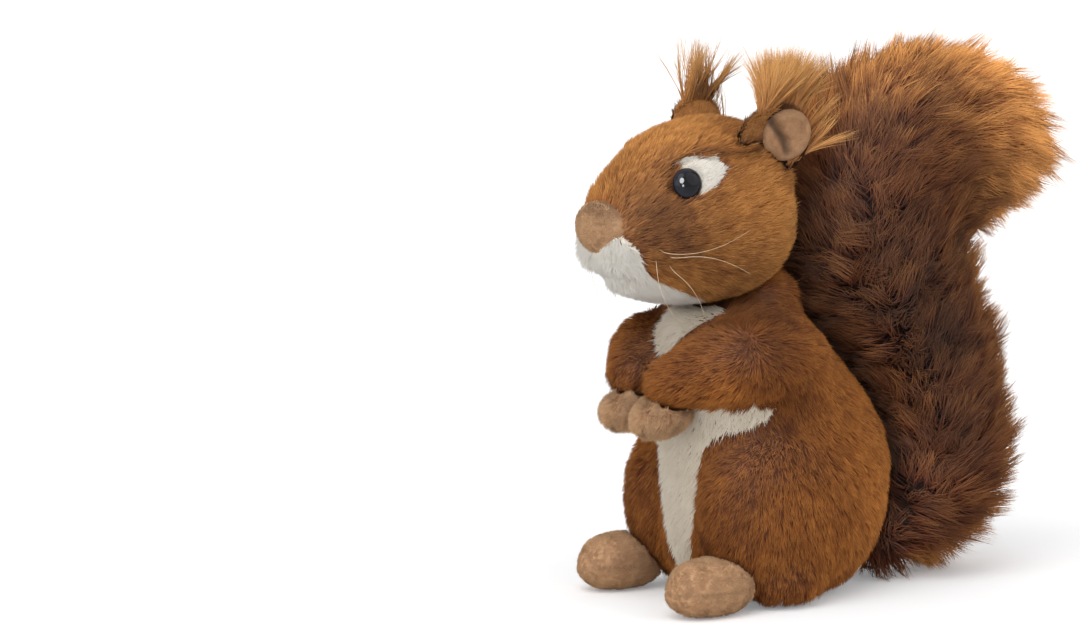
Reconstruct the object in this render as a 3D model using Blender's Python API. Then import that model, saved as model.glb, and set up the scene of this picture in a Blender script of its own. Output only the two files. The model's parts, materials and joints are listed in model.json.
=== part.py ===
"""A sitting plush squirrel, facing -Y, with +Z up and the seat's middle at the origin.

Each sewn or fitted piece is one closed solid: the stuffed covers, the white panels let into
them, the safety eyes with their locking washers, the velour paws and feet, the long-pile tail
and ear tufts, and the whisker threads.
"""

import math

import bmesh
import bpy
from mathutils import Matrix, Vector
from mathutils.bvhtree import BVHTree

# Driving sizes, in metres
BODY_HEIGHT = 0.122
BODY_DEPTH = 0.098
BODY_WIDTH = 0.080
HEAD_LENGTH = 0.084
HEAD_HEIGHT = 0.072
HEAD_WIDTH = 0.067
HEAD_FORWARD = 0.018
NECK_SINK = 0.006
EAR_WIDTH = 0.028
EAR_HEIGHT = 0.029
EAR_THICKNESS = 0.008
TUFT_RADIUS = 0.0062
TUFT_LENGTH = 0.025
EYE_DIAMETER = 0.012
EYE_STEM_RADIUS = 0.0016
EYE_STEM_LENGTH = 0.010
WASHER_RADIUS = 0.0065
WASHER_THICKNESS = 0.0012
WASHER_DEPTH = 0.0055
NOSE_WIDTH = 0.030
NOSE_HEIGHT = 0.0205
NOSE_THICKNESS = 0.0155
WHISKER_RADIUS = 0.00025
WHISKER_SINK = 0.004
ARM_RADIUS = 0.0165
ARM_GAP = 0.0010
PAW_LENGTH = 0.024
PAW_WIDTH = 0.0175
PAW_HEIGHT = 0.015
PAW_GAP = 0.0040
HAUNCH_LENGTH = 0.076
HAUNCH_HEIGHT = 0.072
HAUNCH_WIDTH = 0.040
HAUNCH_SINK = 0.0145
HAUNCH_LEAD = 0.003
ANKLE_RADIUS = 0.013
FOOT_LENGTH = 0.038
FOOT_WIDTH = 0.0235
FOOT_HEIGHT = 0.022
TAIL_WIDTH = 0.068
TAIL_DEPTH = 0.064
TAIL_HEIGHT = 0.178
TAIL_BOW = 0.033
TAIL_CURL = 0.050
TAIL_SINK = 0.010
TAIL_PILE = 0.0075
TAIL_GRAIN = 0.0105

# Thicknesses and clearances
PANEL_THICKNESS = 0.003
PATCH_THICKNESS = 0.002
LINING_THICKNESS = 0.0015
SEAM_GAP = 0.0003

# Colours, as linear red, green and blue
RUSSET = (0.36, 0.13, 0.035)
DARK_RUSSET = (0.24, 0.075, 0.024)
AMBER = (0.55, 0.24, 0.07)
CREAM = (0.80, 0.75, 0.67)
TAN = (0.36, 0.22, 0.13)
EYE_BLACK = (0.010, 0.011, 0.015)
CLEAR_GREY = (0.5, 0.5, 0.5)
STRAW = (0.75, 0.55, 0.33)

# How finely the covers are divided
BODY_RINGS = 16
HEAD_RINGS = 16
ARM_RINGS = 7
AROUND = 22
LIMB_AROUND = 12
EYE_AROUND = 14


# Scene and materials


def clear_scene():
    for old in list(bpy.data.objects):
        bpy.data.objects.remove(old)


def material(name, colour, roughness):
    made = bpy.data.materials.new(name)
    made.use_nodes = True
    shader = made.node_tree.nodes["Principled BSDF"]
    shader.inputs["Base Color"].default_value = (*colour, 1.0)
    shader.inputs["Roughness"].default_value = roughness
    shader.inputs["Metallic"].default_value = 0.0
    return made


def add_object(name, mesh, finish=None):
    made = bpy.data.objects.new(name, mesh)
    bpy.context.scene.collection.objects.link(made)
    if finish:
        mesh.materials.clear()
        mesh.materials.append(finish)
    mesh.shade_smooth()
    return made


def as_cutter(shape):
    shape.hide_render = True
    shape.display_type = "WIRE"
    return shape


def combine(shape, operation, tool):
    step = shape.modifiers.new(f"{operation.lower()}_{tool.name}", "BOOLEAN")
    step.operation = operation
    step.object = tool
    step.solver = "EXACT"
    return shape


def evaluated_mesh(shape):
    graph = bpy.context.evaluated_depsgraph_get()
    graph.update()
    return bpy.data.meshes.new_from_object(shape.evaluated_get(graph), depsgraph=graph)


# Smooth forms


def smooth_rows(rows, count):
    """Rows read at even steps from a Catmull-Rom curve that passes through the given rows."""
    padded = [rows[0], *rows, rows[-1]]
    spans = len(rows) - 1
    read = []
    for step in range(count):
        place = step * spans / (count - 1)
        span = min(int(place), spans - 1)
        t = place - span
        before, start, end, after = padded[span : span + 4]
        read.append(
            tuple(
                0.5
                * (
                    2 * b
                    + (c - a) * t
                    + (2 * a - 5 * b + 4 * c - d) * t * t
                    + (3 * b - a - 3 * c + d) * t**3
                )
                for a, b, c, d in zip(before, start, end, after)
            )
        )
    return read


def bent(value, power):
    """A sine or cosine squared off towards a superellipse."""
    return math.copysign(abs(value) ** (2 / power), value)


def skin_of(name, rings, first_pole=None, last_pole=None):
    """A closed mesh over rings of points. An end with no pole is closed by a flat face."""
    shell = bmesh.new()
    rows = [[shell.verts.new(point) for point in ring] for ring in rings]
    for low, high in zip(rows, rows[1:]):
        for k in range(len(low)):
            after = (k + 1) % len(low)
            shell.faces.new((low[k], low[after], high[after], high[k]))
    for row, pole in ((rows[0], first_pole), (rows[-1], last_pole)):
        if pole is None:
            shell.faces.new(row)
            continue
        tip = shell.verts.new(pole)
        for k in range(len(row)):
            shell.faces.new((row[k], row[(k + 1) % len(row)], tip))
    bmesh.ops.recalc_face_normals(shell, faces=shell.faces)
    bmesh.ops.triangulate(shell, faces=shell.faces)
    mesh = bpy.data.meshes.new(name)
    shell.to_mesh(mesh)
    shell.free()
    return mesh


def swell(mesh, lumps):
    """Pushes the surface out, or in, in a soft hill round each (centre, radius, height)."""
    shell = bmesh.new()
    shell.from_mesh(mesh)
    shell.normal_update()
    moves = []
    for point in shell.verts:
        push = sum(
            height * math.exp(-(((point.co - Vector(centre)).length / radius) ** 2))
            for centre, radius, height in lumps
        )
        moves.append(point.normal * push)
    for point, move in zip(shell.verts, moves):
        point.co += move
    shell.to_mesh(mesh)
    shell.free()


def resized(mesh, amount, name):
    """A copy of the mesh with its surface moved out by amount, or in where it is negative."""
    shell = bmesh.new()
    shell.from_mesh(mesh)
    shell.normal_update()
    moves = [point.normal * amount for point in shell.verts]
    for point, move in zip(shell.verts, moves):
        point.co += move
    copy = bpy.data.meshes.new(name)
    shell.to_mesh(copy)
    shell.free()
    return copy


def prism(name, outline, axis, low, high):
    """The outline, given in the two other axes, drawn out along axis from low to high."""

    def placed(pair, depth):
        point = list(pair)
        point.insert(axis, depth)
        return Vector(point)

    return skin_of(
        name,
        [[placed(pair, low) for pair in outline], [placed(pair, high) for pair in outline]],
    )


def closed_curve(corners, each):
    """A smooth closed outline through the corners, with each corner's side in so many steps."""
    padded = [corners[-1], *corners, corners[0], corners[1]]
    rows = smooth_rows(padded, each * (len(padded) - 1) + 1)
    return rows[each : each * (len(corners) + 1)]


def tube(name, spine, around, rings, cap_rings=3):
    """A round-ended tube. Each row of the spine is x, y, z, radius aside, radius across."""
    rows = smooth_rows(spine, rings)
    places = [Vector(row[:3]) for row in rows]
    radii = [row[3:] for row in rows]
    tangents = [
        (places[min(k + 1, rings - 1)] - places[max(k - 1, 0)]).normalized()
        for k in range(rings)
    ]

    def ring(centre, tangent, aside, across):
        side = Vector((1, 0, 0))
        side = (side - side.project(tangent)).normalized()
        up = tangent.cross(side)
        turns = [2 * math.pi * k / around for k in range(around)]
        return [
            centre + side * aside * math.cos(a) + up * across * math.sin(a) for a in turns
        ]

    def cap(end, direction):
        centre, tangent, (aside, across) = places[end], tangents[end], radii[end]
        length = (aside + across) / 2
        made = []
        for k in range(1, cap_rings + 1):
            angle = math.pi / 2 * k / (cap_rings + 1)
            reach = centre + tangent * direction * length * math.sin(angle)
            shrink = math.cos(angle)
            made.append(ring(reach, tangent, aside * shrink, across * shrink))
        return made, centre + tangent * direction * length

    middle = [ring(p, t, *r) for p, t, r in zip(places, tangents, radii)]
    first, first_pole = cap(0, -1)
    last, last_pole = cap(rings - 1, 1)
    return skin_of(name, [*reversed(first), *middle, *last], first_pole, last_pole)


def egg(name, centre, radii, turn=Matrix.Identity(3), rings=8, around=LIMB_AROUND, power=2):
    """An egg with its poles along its own Y. A power above 2 makes it boxier."""

    def place(x, y, z):
        return Vector(centre) + turn @ Vector((x * radii[0], y * radii[1], z * radii[2]))

    rows = []
    for k in range(1, rings):
        lean = math.pi * k / rings
        turns = [2 * math.pi * j / around for j in range(around)]
        rows.append(
            [
                place(
                    bent(math.sin(lean), power) * bent(math.cos(a), power),
                    -bent(math.cos(lean), power),
                    bent(math.sin(lean), power) * bent(math.sin(a), power),
                )
                for a in turns
            ]
        )
    return skin_of(name, rows, place(0, -1, 0), place(0, 1, 0))


def floored(mesh):
    """Flattens what would sink below the floor, so that the piece has a flat sole."""
    for point in mesh.vertices:
        point.co.z = max(point.co.z, 0.0)
    return mesh


def union_of(name, *meshes):
    """One mesh of several overlapping ones."""
    shapes = [add_object(f"{name}_part_{k}", mesh) for k, mesh in enumerate(meshes)]
    for tool in shapes[1:]:
        combine(shapes[0], "UNION", tool)
    mesh = evaluated_mesh(shapes[0])
    for shape in shapes:
        bpy.data.objects.remove(shape)
    return mesh


def tree_of(mesh):
    """The mesh as a search tree, for rays and nearest points."""
    shell = bmesh.new()
    shell.from_mesh(mesh)
    tree = BVHTree.FromBMesh(shell)
    shell.free()
    return tree


def surface_at(mesh, start, direction):
    """Where a ray meets the mesh, and the surface's normal there."""
    place, normal, _, _ = tree_of(mesh).ray_cast(Vector(start), Vector(direction).normalized())
    return place, normal


def facing(normal, place):
    """The matrix that sets a piece's own +Z along normal at place."""
    return Matrix.Translation(place) @ normal.to_track_quat("Z", "Y").to_matrix().to_4x4()


def mirrored(shape, name):
    """The same piece on the squirrel's right side, at -X."""
    mesh = evaluated_mesh(shape)
    mesh.transform(shape.matrix_world)
    mesh.transform(Matrix.Scale(-1, 4, Vector((1, 0, 0))))
    mesh.flip_normals()
    mesh.name = name
    return add_object(name, mesh, shape.data.materials[0])


def inlay(name, host, host_mesh, region, thickness, finish, sunk=None):
    """A panel of one thickness let into the host's surface within the region, with its pocket.

    sunk gives the host's surface at a depth. Without it the surface shrinks on all sides.
    """
    if sunk is None:

        def sunk(depth):
            return resized(host_mesh, -depth, name)

    core = as_cutter(add_object(f"{name}_core", sunk(thickness)))
    panel = add_object(name, host_mesh.copy(), finish)
    combine(panel, "INTERSECT", as_cutter(add_object(f"{name}_region", region)))
    combine(panel, "DIFFERENCE", core)
    pocket = as_cutter(add_object(f"{name}_pocket", resized(region, SEAM_GAP, name)))
    floor = as_cutter(add_object(f"{name}_floor", sunk(thickness + SEAM_GAP)))
    combine(pocket, "DIFFERENCE", floor)
    combine(host, "DIFFERENCE", pocket)
    return panel


# The stuffed body and head


BODY_SECTIONS = (
    # height, then front and back as shares of the depth, then half width as a share
    (0.00, -0.10, 0.45, 0.62),
    (0.035, -0.16, 0.55, 0.79),
    (0.10, -0.20, 0.63, 0.90),
    (0.20, -0.235, 0.705, 0.975),
    (0.34, -0.245, 0.735, 1.00),
    (0.49, -0.255, 0.725, 0.975),
    (0.65, -0.265, 0.61, 0.89),
    (0.80, -0.265, 0.45, 0.76),
    (0.91, -0.235, 0.335, 0.62),
    (0.97, -0.155, 0.245, 0.44),
    (1.00, -0.04, 0.145, 0.20),
)
BODY_FRONT = -0.245 * BODY_DEPTH
BODY_BACK = 0.735 * BODY_DEPTH


def body_mesh():
    """The stuffed body, from its flat seat to the neck."""
    rings = []
    for height, front, back, width in smooth_rows(BODY_SECTIONS, BODY_RINGS):
        middle = (front + back) / 2 * BODY_DEPTH
        half_depth = (back - front) / 2 * BODY_DEPTH
        half_width = width * BODY_WIDTH / 2
        ring = []
        for k in range(AROUND):
            a = 2 * math.pi * k / AROUND
            aside, along = half_width * bent(math.cos(a), 2.15), half_depth * bent(math.sin(a), 2.15)
            ring.append(Vector((aside, middle + along, height * BODY_HEIGHT)))
        rings.append(ring)
    top = Vector((0, 0.05 * BODY_DEPTH, BODY_HEIGHT * 1.004))
    return skin_of("body_form", rings, None, top)


HEAD_CENTRE = Vector((0, -HEAD_FORWARD, BODY_HEIGHT - NECK_SINK + HEAD_HEIGHT / 2))


def head_point(aside, along, up):
    """A place given as shares of the head's half width, half length and half height."""
    return HEAD_CENTRE + Vector(
        (aside * HEAD_WIDTH / 2, along * HEAD_LENGTH / 2, up * HEAD_HEIGHT / 2)
    )


HEAD_SECTIONS = (
    # along, top, bottom and half width, as shares of the half sizes
    (-0.99, -0.03, -0.39, 0.24),
    (-0.96, 0.15, -0.51, 0.39),
    (-0.87, 0.36, -0.67, 0.52),
    (-0.667, 0.59, -0.83, 0.68),
    (-0.405, 0.82, -0.96, 0.86),
    (-0.07, 0.965, -1.00, 0.97),
    (0.285, 1.01, -0.97, 1.00),
    (0.55, 0.945, -0.89, 0.97),
    (0.775, 0.75, -0.72, 0.805),
    (0.915, 0.47, -0.47, 0.54),
    (0.976, 0.25, -0.25, 0.27),
)
HEAD_PEAR = 0.11


def head_mesh():
    """The stuffed head, from the nose to the nape, wider at the cheeks than at the crown."""
    rings = []
    for along, top, bottom, width in smooth_rows(HEAD_SECTIONS, HEAD_RINGS):
        ring = []
        for k in range(AROUND):
            a = 2 * math.pi * k / AROUND
            aside = width * bent(math.cos(a), 2.25) * (1 - HEAD_PEAR * math.sin(a))
            up = (top + bottom) / 2 + (top - bottom) / 2 * bent(math.sin(a), 2.1)
            ring.append(head_point(aside, along, up))
        rings.append(ring)
    mesh = skin_of("head_form", rings, head_point(0, -1, -0.2), head_point(0, 1, 0))
    lip = 0.15 * HEAD_WIDTH
    lumps = [
        (head_point(0, -0.76, -0.80), lip, 0.034 * HEAD_HEIGHT),
        (head_point(0, -0.95, -0.63), lip * 0.6, -0.034 * HEAD_HEIGHT),
        (head_point(0, -1.0, -0.42), lip * 0.5, -0.014 * HEAD_HEIGHT),
    ]
    for side in (-1, 1):
        lumps.append((head_point(side * 0.28, -0.92, -0.42), lip * 0.9, 0.030 * HEAD_WIDTH))
        lumps.append((head_point(side * 0.27, -0.88, -0.66), lip * 0.5, -0.036 * HEAD_WIDTH))
        lumps.append((head_point(side * 0.85, 0.15, -0.45), lip * 2.6, 0.022 * HEAD_WIDTH))
        lumps.append((head_point(side * 0.80, -0.40, 0.36), lip * 1.1, -0.016 * HEAD_WIDTH))
    swell(mesh, lumps)
    return mesh


def front_panel_region():
    """The white front seen from ahead: a throat, two points under the arms, and a narrow belly."""
    half = [
        (0.09, 0.08),
        (0.175, 0.165),
        (0.275, 0.285),
        (0.325, 0.39),
        (0.375, 0.49),
        (0.50, 0.55),
        (0.74, 0.585),
        (0.82, 0.61),
        (0.84, 0.645),
        (0.76, 0.68),
        (0.50, 0.72),
        (0.375, 0.795),
        (0.35, 0.87),
        (0.40, 1.03),
    ]
    left = [(-x, z) for x, z in reversed(half)]
    corners = [(x * BODY_WIDTH / 2, z * BODY_HEIGHT) for x, z in half + left]
    return prism(
        "front_panel_form", closed_curve(corners, 1), 1, -BODY_DEPTH, 0.05 * BODY_DEPTH
    )


def muzzle_region():
    """The white lips, chin and throat seen from the side: all below a falling line."""
    line = [
        (-1.5, -0.10),
        (-0.93, -0.11),
        (-0.875, -0.19),
        (-0.786, -0.28),
        (-0.736, -0.42),
        (-0.69, -0.555),
        (-0.53, -0.71),
        (-0.30, -0.81),
        (-0.05, -0.90),
        (0.10, -1.10),
        (0.10, -1.5),
        (-1.5, -1.5),
    ]
    corners = []
    for along, up in line:
        place = head_point(0, along, up)
        corners.append((place.y, place.z))
    return prism("muzzle_form", corners, 0, -HEAD_WIDTH, HEAD_WIDTH)


# Legs, arms and their velour ends


HAUNCH_CENTRE = Vector(
    (
        BODY_WIDTH / 2 - HAUNCH_SINK,
        BODY_FRONT - HAUNCH_LEAD + HAUNCH_LENGTH / 2,
        HAUNCH_HEIGHT / 2 + 0.001,
    )
)
FOOT_CENTRE = Vector(
    (
        HAUNCH_CENTRE.x + ANKLE_RADIUS * 0.42,
        HAUNCH_CENTRE.y - HAUNCH_LENGTH / 2 - FOOT_LENGTH / 2 + ANKLE_RADIUS * 1.5,
        FOOT_HEIGHT / 2,
    )
)


def haunch_mesh():
    """The thigh as a flattened egg, with the short lower leg behind the foot."""
    thigh = egg(
        "thigh_form",
        HAUNCH_CENTRE,
        (HAUNCH_WIDTH / 2, HAUNCH_LENGTH / 2, HAUNCH_HEIGHT / 2),
        rings=9,
        around=16,
        power=2.25,
    )
    heel = ANKLE_RADIUS
    ankle = FOOT_CENTRE.y + FOOT_LENGTH / 2 + heel * 0.8
    shank = tube(
        "shank_form",
        [
            (FOOT_CENTRE.x, ankle, heel * 0.97, heel * 0.96, heel),
            (FOOT_CENTRE.x + heel * 0.05, ankle + heel * 0.4, heel * 0.97, heel, heel),
            (FOOT_CENTRE.x, ankle + heel * 0.9, heel * 0.97, heel, heel),
        ],
        LIMB_AROUND,
        4,
    )
    return floored(union_of("haunch_form", thigh, shank))


def foot_mesh():
    """A velour foot: an egg with a flat sole and creases between its toes."""
    mesh = egg(
        "foot_form",
        FOOT_CENTRE,
        (FOOT_WIDTH / 2, FOOT_LENGTH / 2, FOOT_HEIGHT / 2 * 1.04),
        rings=10,
        around=14,
        power=2.2,
    )
    toe = FOOT_CENTRE.y - FOOT_LENGTH * 0.42
    crease = FOOT_WIDTH * 0.16
    lumps = []
    for side in (-1, 1):
        place = (FOOT_CENTRE.x + side * FOOT_WIDTH * 0.2, toe, FOOT_HEIGHT * 0.62)
        lumps.append((place, crease, -0.05 * FOOT_WIDTH))
    swell(mesh, lumps)
    return floored(mesh)


def arm_spine():
    """Shoulder, elbow and wrist: each row is a place with the two radii there."""
    shoulder = BODY_HEIGHT * 0.785
    r = ARM_RADIUS
    front = -0.265 * BODY_DEPTH
    wrist = r * 0.76 + ARM_GAP
    return [
        (BODY_WIDTH * 0.375, front + r * 1.9, shoulder, r * 0.97, r * 0.97),
        (BODY_WIDTH * 0.37, front + r * 1.05, shoulder, r, r * 1.03),
        (BODY_WIDTH * 0.28, front + r * 0.32, shoulder - r * 0.17, r * 0.95, r * 0.96),
        (wrist, front - r * 0.34, shoulder - r * 0.44, r * 0.76, r * 0.70),
    ]


def paw_mesh():
    """A velour mitten with three finger mounds, hanging from the wrist towards the middle."""
    wrist = Vector(arm_spine()[-1][:3])
    centre = Vector(
        (
            PAW_WIDTH / 2 + PAW_GAP / 2,
            wrist.y - PAW_LENGTH * 0.17,
            wrist.z - ARM_RADIUS * 0.66 - PAW_HEIGHT * 0.16,
        )
    )
    tilt = Matrix.Rotation(math.radians(14), 3, "X")
    mesh = egg(
        "paw_form",
        centre,
        (PAW_WIDTH / 2, PAW_LENGTH / 2, PAW_HEIGHT / 2),
        tilt,
        rings=8,
        around=14,
    )
    tip = PAW_LENGTH * 0.40
    lumps = []
    for side in (-1, 1):
        place = centre + tilt @ Vector((side * PAW_WIDTH * 0.17, -tip, PAW_HEIGHT * 0.13))
        lumps.append((place, PAW_WIDTH * 0.15, -0.06 * PAW_WIDTH))
    swell(mesh, lumps)
    return mesh


# Ears, tufts and tail


EAR_CENTRE = head_point(0.74, 0.60, 0.765)
EAR_TURN = (
    Matrix.Rotation(math.radians(-14), 3, "Z")
    @ Matrix.Rotation(math.radians(8), 3, "Y")
    @ Matrix.Rotation(math.radians(-8), 3, "X")
)


def ear_placed(mesh):
    mesh.transform(Matrix.Translation(EAR_CENTRE) @ EAR_TURN.to_4x4())
    return mesh


def ear_mesh():
    """A thick plush disc standing on edge, dished on its outer face."""
    mesh = egg(
        "ear_form",
        (0, 0, 0),
        (EAR_THICKNESS / 2, EAR_WIDTH / 2, EAR_HEIGHT / 2),
        rings=9,
        around=16,
    )
    for point in mesh.vertices:
        rim = (point.co.y / EAR_WIDTH * 2) ** 2 + (point.co.z / EAR_HEIGHT * 2) ** 2
        if point.co.x > 0:
            point.co.x -= EAR_THICKNESS * 0.52 * max(0.0, 1 - rim * 1.35)
        point.co.x += EAR_THICKNESS * 0.30 * rim
    return ear_placed(mesh)


def ear_lining_region():
    """The rounded suede lining, drawn through the ear's outer half and set towards its back."""
    count = 16
    wide, tall = EAR_WIDTH * 0.33, EAR_HEIGHT * 0.36
    middle = Vector((EAR_WIDTH * 0.10, EAR_HEIGHT * 0.09))
    outline = []
    for k in range(count):
        a = 2 * math.pi * k / count
        outline.append((middle.x + wide * math.cos(a), middle.y + tall * math.sin(a)))
    return ear_placed(
        prism("ear_lining_form", outline, 0, -EAR_THICKNESS * 0.30, EAR_THICKNESS * 2)
    )


def spiked(mesh, leaning):
    """Raises a leaning point on each face. leaning gives each face's point, or None."""
    shell = bmesh.new()
    shell.from_mesh(mesh)
    shell.normal_update()
    tips = [(face, leaning(face)) for face in shell.faces]
    for face, tip in tips:
        if tip is None:
            continue
        poked = bmesh.ops.poke(shell, faces=[face])
        poked["verts"][0].co = tip
    bmesh.ops.triangulate(shell, faces=shell.faces)
    spiky = bpy.data.meshes.new(mesh.name)
    shell.to_mesh(spiky)
    shell.free()
    return spiky


def uneven(number):
    """A value from 0 to 1 that jumps about from one whole number to the next."""
    return (math.sin(number * 12.9898) * 43758.5453) % 1.0


def tuft_mesh():
    """A ball of long hair standing on the ear's top edge, drawn out into a fan of points."""
    root = EAR_CENTRE + EAR_TURN @ Vector(
        (EAR_THICKNESS * 0.10, EAR_WIDTH * 0.16, EAR_HEIGHT / 2 + TUFT_RADIUS * 0.05)
    )
    mesh = egg(
        "tuft_form",
        root,
        (TUFT_RADIUS * 0.95, TUFT_RADIUS * 1.6, TUFT_RADIUS * 0.95),
        rings=6,
        around=10,
    )

    def leaning(face):
        centre = face.calc_center_median()
        outwards = (centre - root).normalized()
        if outwards.z < -0.05:
            return None
        length = TUFT_LENGTH * (0.35 + 0.65 * uneven(face.index)) * (0.45 + 0.55 * outwards.z)
        return centre + (outwards + Vector((0.0, 0.1, 0.3))).normalized() * length

    return spiked(mesh, leaning)


def tail_spines():
    """The rising part and the lobe that curls back, each as rows for tube."""
    root = BODY_BACK - TAIL_SINK

    def row(along, height, wide, deep):
        sides = TAIL_WIDTH / 2 * wide, TAIL_DEPTH / 2 * deep
        return (0, root + along, TAIL_HEIGHT * height, *sides)

    rise = [
        row(0, 0.135, 0.62, 0.62),
        row(TAIL_BOW * 0.75, 0.165, 0.95, 0.95),
        row(TAIL_BOW * 1.10, 0.275, 1.04, 1.04),
        row(TAIL_BOW * 0.98, 0.43, 1.04, 1.04),
        row(TAIL_BOW * 0.72, 0.56, 1.02, 1.08),
        row(TAIL_BOW * 0.32, 0.685, 1.02, 1.12),
        row(TAIL_BOW * 0.10, 0.84, 1.0, 1.12),
        row(TAIL_BOW * 0.30, 0.955, 0.98, 1.08),
    ]
    bend = TAIL_BOW * 0.30
    lobe = [
        row(bend, 0.955, 0.98, 1.08),
        row(bend + TAIL_CURL * 0.44, 1.0, 1.0, 1.06),
        row(bend + TAIL_CURL * 0.82, 0.985, 0.96, 1.04),
        row(bend + TAIL_CURL, 0.965, 0.84, 0.95),
    ]
    return rise, lobe


def tail_mesh(neighbours):
    """The long-pile tail: one stuffed form whose surface is drawn out into leaning locks."""
    rise, lobe = tail_spines()
    parts = [
        tube("tail_rise", rise, 20, 14),
        tube("tail_lobe", lobe, 20, 8),
    ]
    whole = add_object("tail_whole", union_of("tail_form", *parts))
    grain = whole.modifiers.new("even_faces", "REMESH")
    grain.mode = "VOXEL"
    grain.voxel_size = TAIL_GRAIN
    soft = whole.modifiers.new("soften", "SMOOTH")
    soft.factor = 0.5
    soft.iterations = 2
    mesh = evaluated_mesh(whole)
    bpy.data.objects.remove(whole)

    course = [Vector(row[:3]) for row in smooth_rows(rise, 24)]
    course += [Vector(row[:3]) for row in smooth_rows(lobe, 16)][1:]
    own, others = tree_of(mesh), [tree_of(form) for form in neighbours]

    def leaning(face):
        centre = face.calc_center_median()
        if any(tree.find_nearest(centre, TAIL_PILE * 1.6)[0] is not None for tree in others):
            return None
        nearest = min(range(len(course)), key=lambda k: (course[k] - centre).length)
        ahead = course[min(nearest + 1, len(course) - 1)] - course[max(nearest - 1, 0)]
        lean = (face.normal + ahead.normalized() * 0.8).normalized()
        room = own.ray_cast(centre + face.normal * TAIL_GRAIN * 0.1, lean)[3]
        length = TAIL_PILE * (0.6 + 0.8 * uneven(face.index))
        if room is not None:
            length = min(length, room * 0.3)
        return centre + lean * length

    return floored(spiked(mesh, leaning))


# Eyes, nose and whiskers


def turned(name, profile, around):
    """A round piece about its own Z. The profile's rows are radius and height, from pole to pole."""
    rings = []
    for radius, height in profile[1:-1]:
        turns = [2 * math.pi * k / around for k in range(around)]
        rings.append([Vector((radius * math.cos(a), radius * math.sin(a), height)) for a in turns])
    first, last = profile[0], profile[-1]
    return skin_of(name, rings, Vector((0, 0, first[1])), Vector((0, 0, last[1])))


def eye_profile(gap=0.0):
    """A low dome on a flat back with a stem. gap makes the same shape larger all round."""
    r = EYE_DIAMETER / 2
    dome = []
    steps = 5
    for k in range(1, steps):
        a = math.pi / 2 * k / steps
        dome.append((r * math.sin(a) + gap * math.sin(a), r * 0.62 * math.cos(a) + gap))
    stem = EYE_STEM_RADIUS + gap
    return [
        (0, r * 0.62 + gap),
        *dome,
        (r + gap, 0),
        (r + gap, -r * 0.18 - gap),
        (stem, -r * 0.18 - gap),
        (stem, -EYE_STEM_LENGTH - gap),
        (0, -EYE_STEM_LENGTH - gap),
    ]


def washer_mesh(name, gap=0.0):
    """The ring that locks the stem inside the head."""
    top, bottom = -WASHER_DEPTH + gap, -WASHER_DEPTH - WASHER_THICKNESS - gap
    outer = WASHER_RADIUS + gap
    if gap:
        return turned(name, [(0, top), (outer, top), (outer, bottom), (0, bottom)], EYE_AROUND)
    inner = EYE_STEM_RADIUS + SEAM_GAP
    around = EYE_AROUND
    turns = [2 * math.pi * k / around for k in range(around)]
    corners = [(inner, top), (outer, top), (outer, bottom), (inner, bottom)]
    ring = bmesh.new()
    rows = [
        [ring.verts.new((r * math.cos(a), r * math.sin(a), z)) for a in turns]
        for r, z in corners
    ]
    for low, high in zip(rows, rows[1:] + rows[:1]):
        for k in range(around):
            after = (k + 1) % around
            ring.faces.new((low[k], low[after], high[after], high[k]))
    bmesh.ops.recalc_face_normals(ring, faces=ring.faces)
    mesh = bpy.data.meshes.new(name)
    ring.to_mesh(mesh)
    ring.free()
    return mesh


def eye_patch_region(place):
    """The white patch's outline from the side: round under the eye, drawn up and back."""
    corners = [
        (-0.0062, -0.0012),
        (-0.0056, 0.0032),
        (-0.0004, 0.0070),
        (0.0058, 0.0095),
        (0.0135, 0.0105),
        (0.0188, 0.0092),
        (0.0178, 0.0050),
        (0.0120, 0.0008),
        (0.0070, -0.0040),
        (0.0014, -0.0068),
        (-0.0042, -0.0056),
    ]
    scale = EYE_DIAMETER / 0.012
    outline = [
        (place.y + y * scale, place.z + z * scale) for y, z in closed_curve(corners, 2)
    ]
    return prism("eye_patch_form", outline, 0, HEAD_WIDTH * 0.12, HEAD_WIDTH)


def nose_mesh(head):
    """A padded suede patch, rounded above and drawn to a soft point below."""
    place, _ = surface_at(head, head_point(0, -3, -0.12), (0, 1, 0))
    mesh = egg(
        "nose_form",
        (0, 0, 0),
        (NOSE_WIDTH / 2, NOSE_THICKNESS / 2, NOSE_HEIGHT / 2),
        rings=8,
        around=16,
    )
    for point in mesh.vertices:
        drop = point.co.z / NOSE_HEIGHT * 2
        point.co.x *= 1 + 0.16 * drop - 0.14 * drop * drop
        point.co.y += (point.co.x / NOSE_WIDTH * 2) ** 2 * NOSE_THICKNESS * 0.16
    tilt = Matrix.Rotation(math.radians(-8), 4, "X")
    mesh.transform(Matrix.Translation(place + Vector((0, NOSE_THICKNESS * 0.24, 0))) @ tilt)
    return mesh


WHISKER_ROWS = (
    # place on the cheek along and up the head, then direction, bow and length
    ((-0.64, -0.34), (0.45, 0.85, 0.30), 0.004, 0.036),
    ((-0.57, -0.40), (0.45, 0.90, -0.16), -0.004, 0.032),
    ((-0.66, -0.44), (0.02, 0.46, -0.88), 0.003, 0.028),
    ((-0.55, -0.50), (0.05, 0.60, -0.80), -0.003, 0.026),
)


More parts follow.
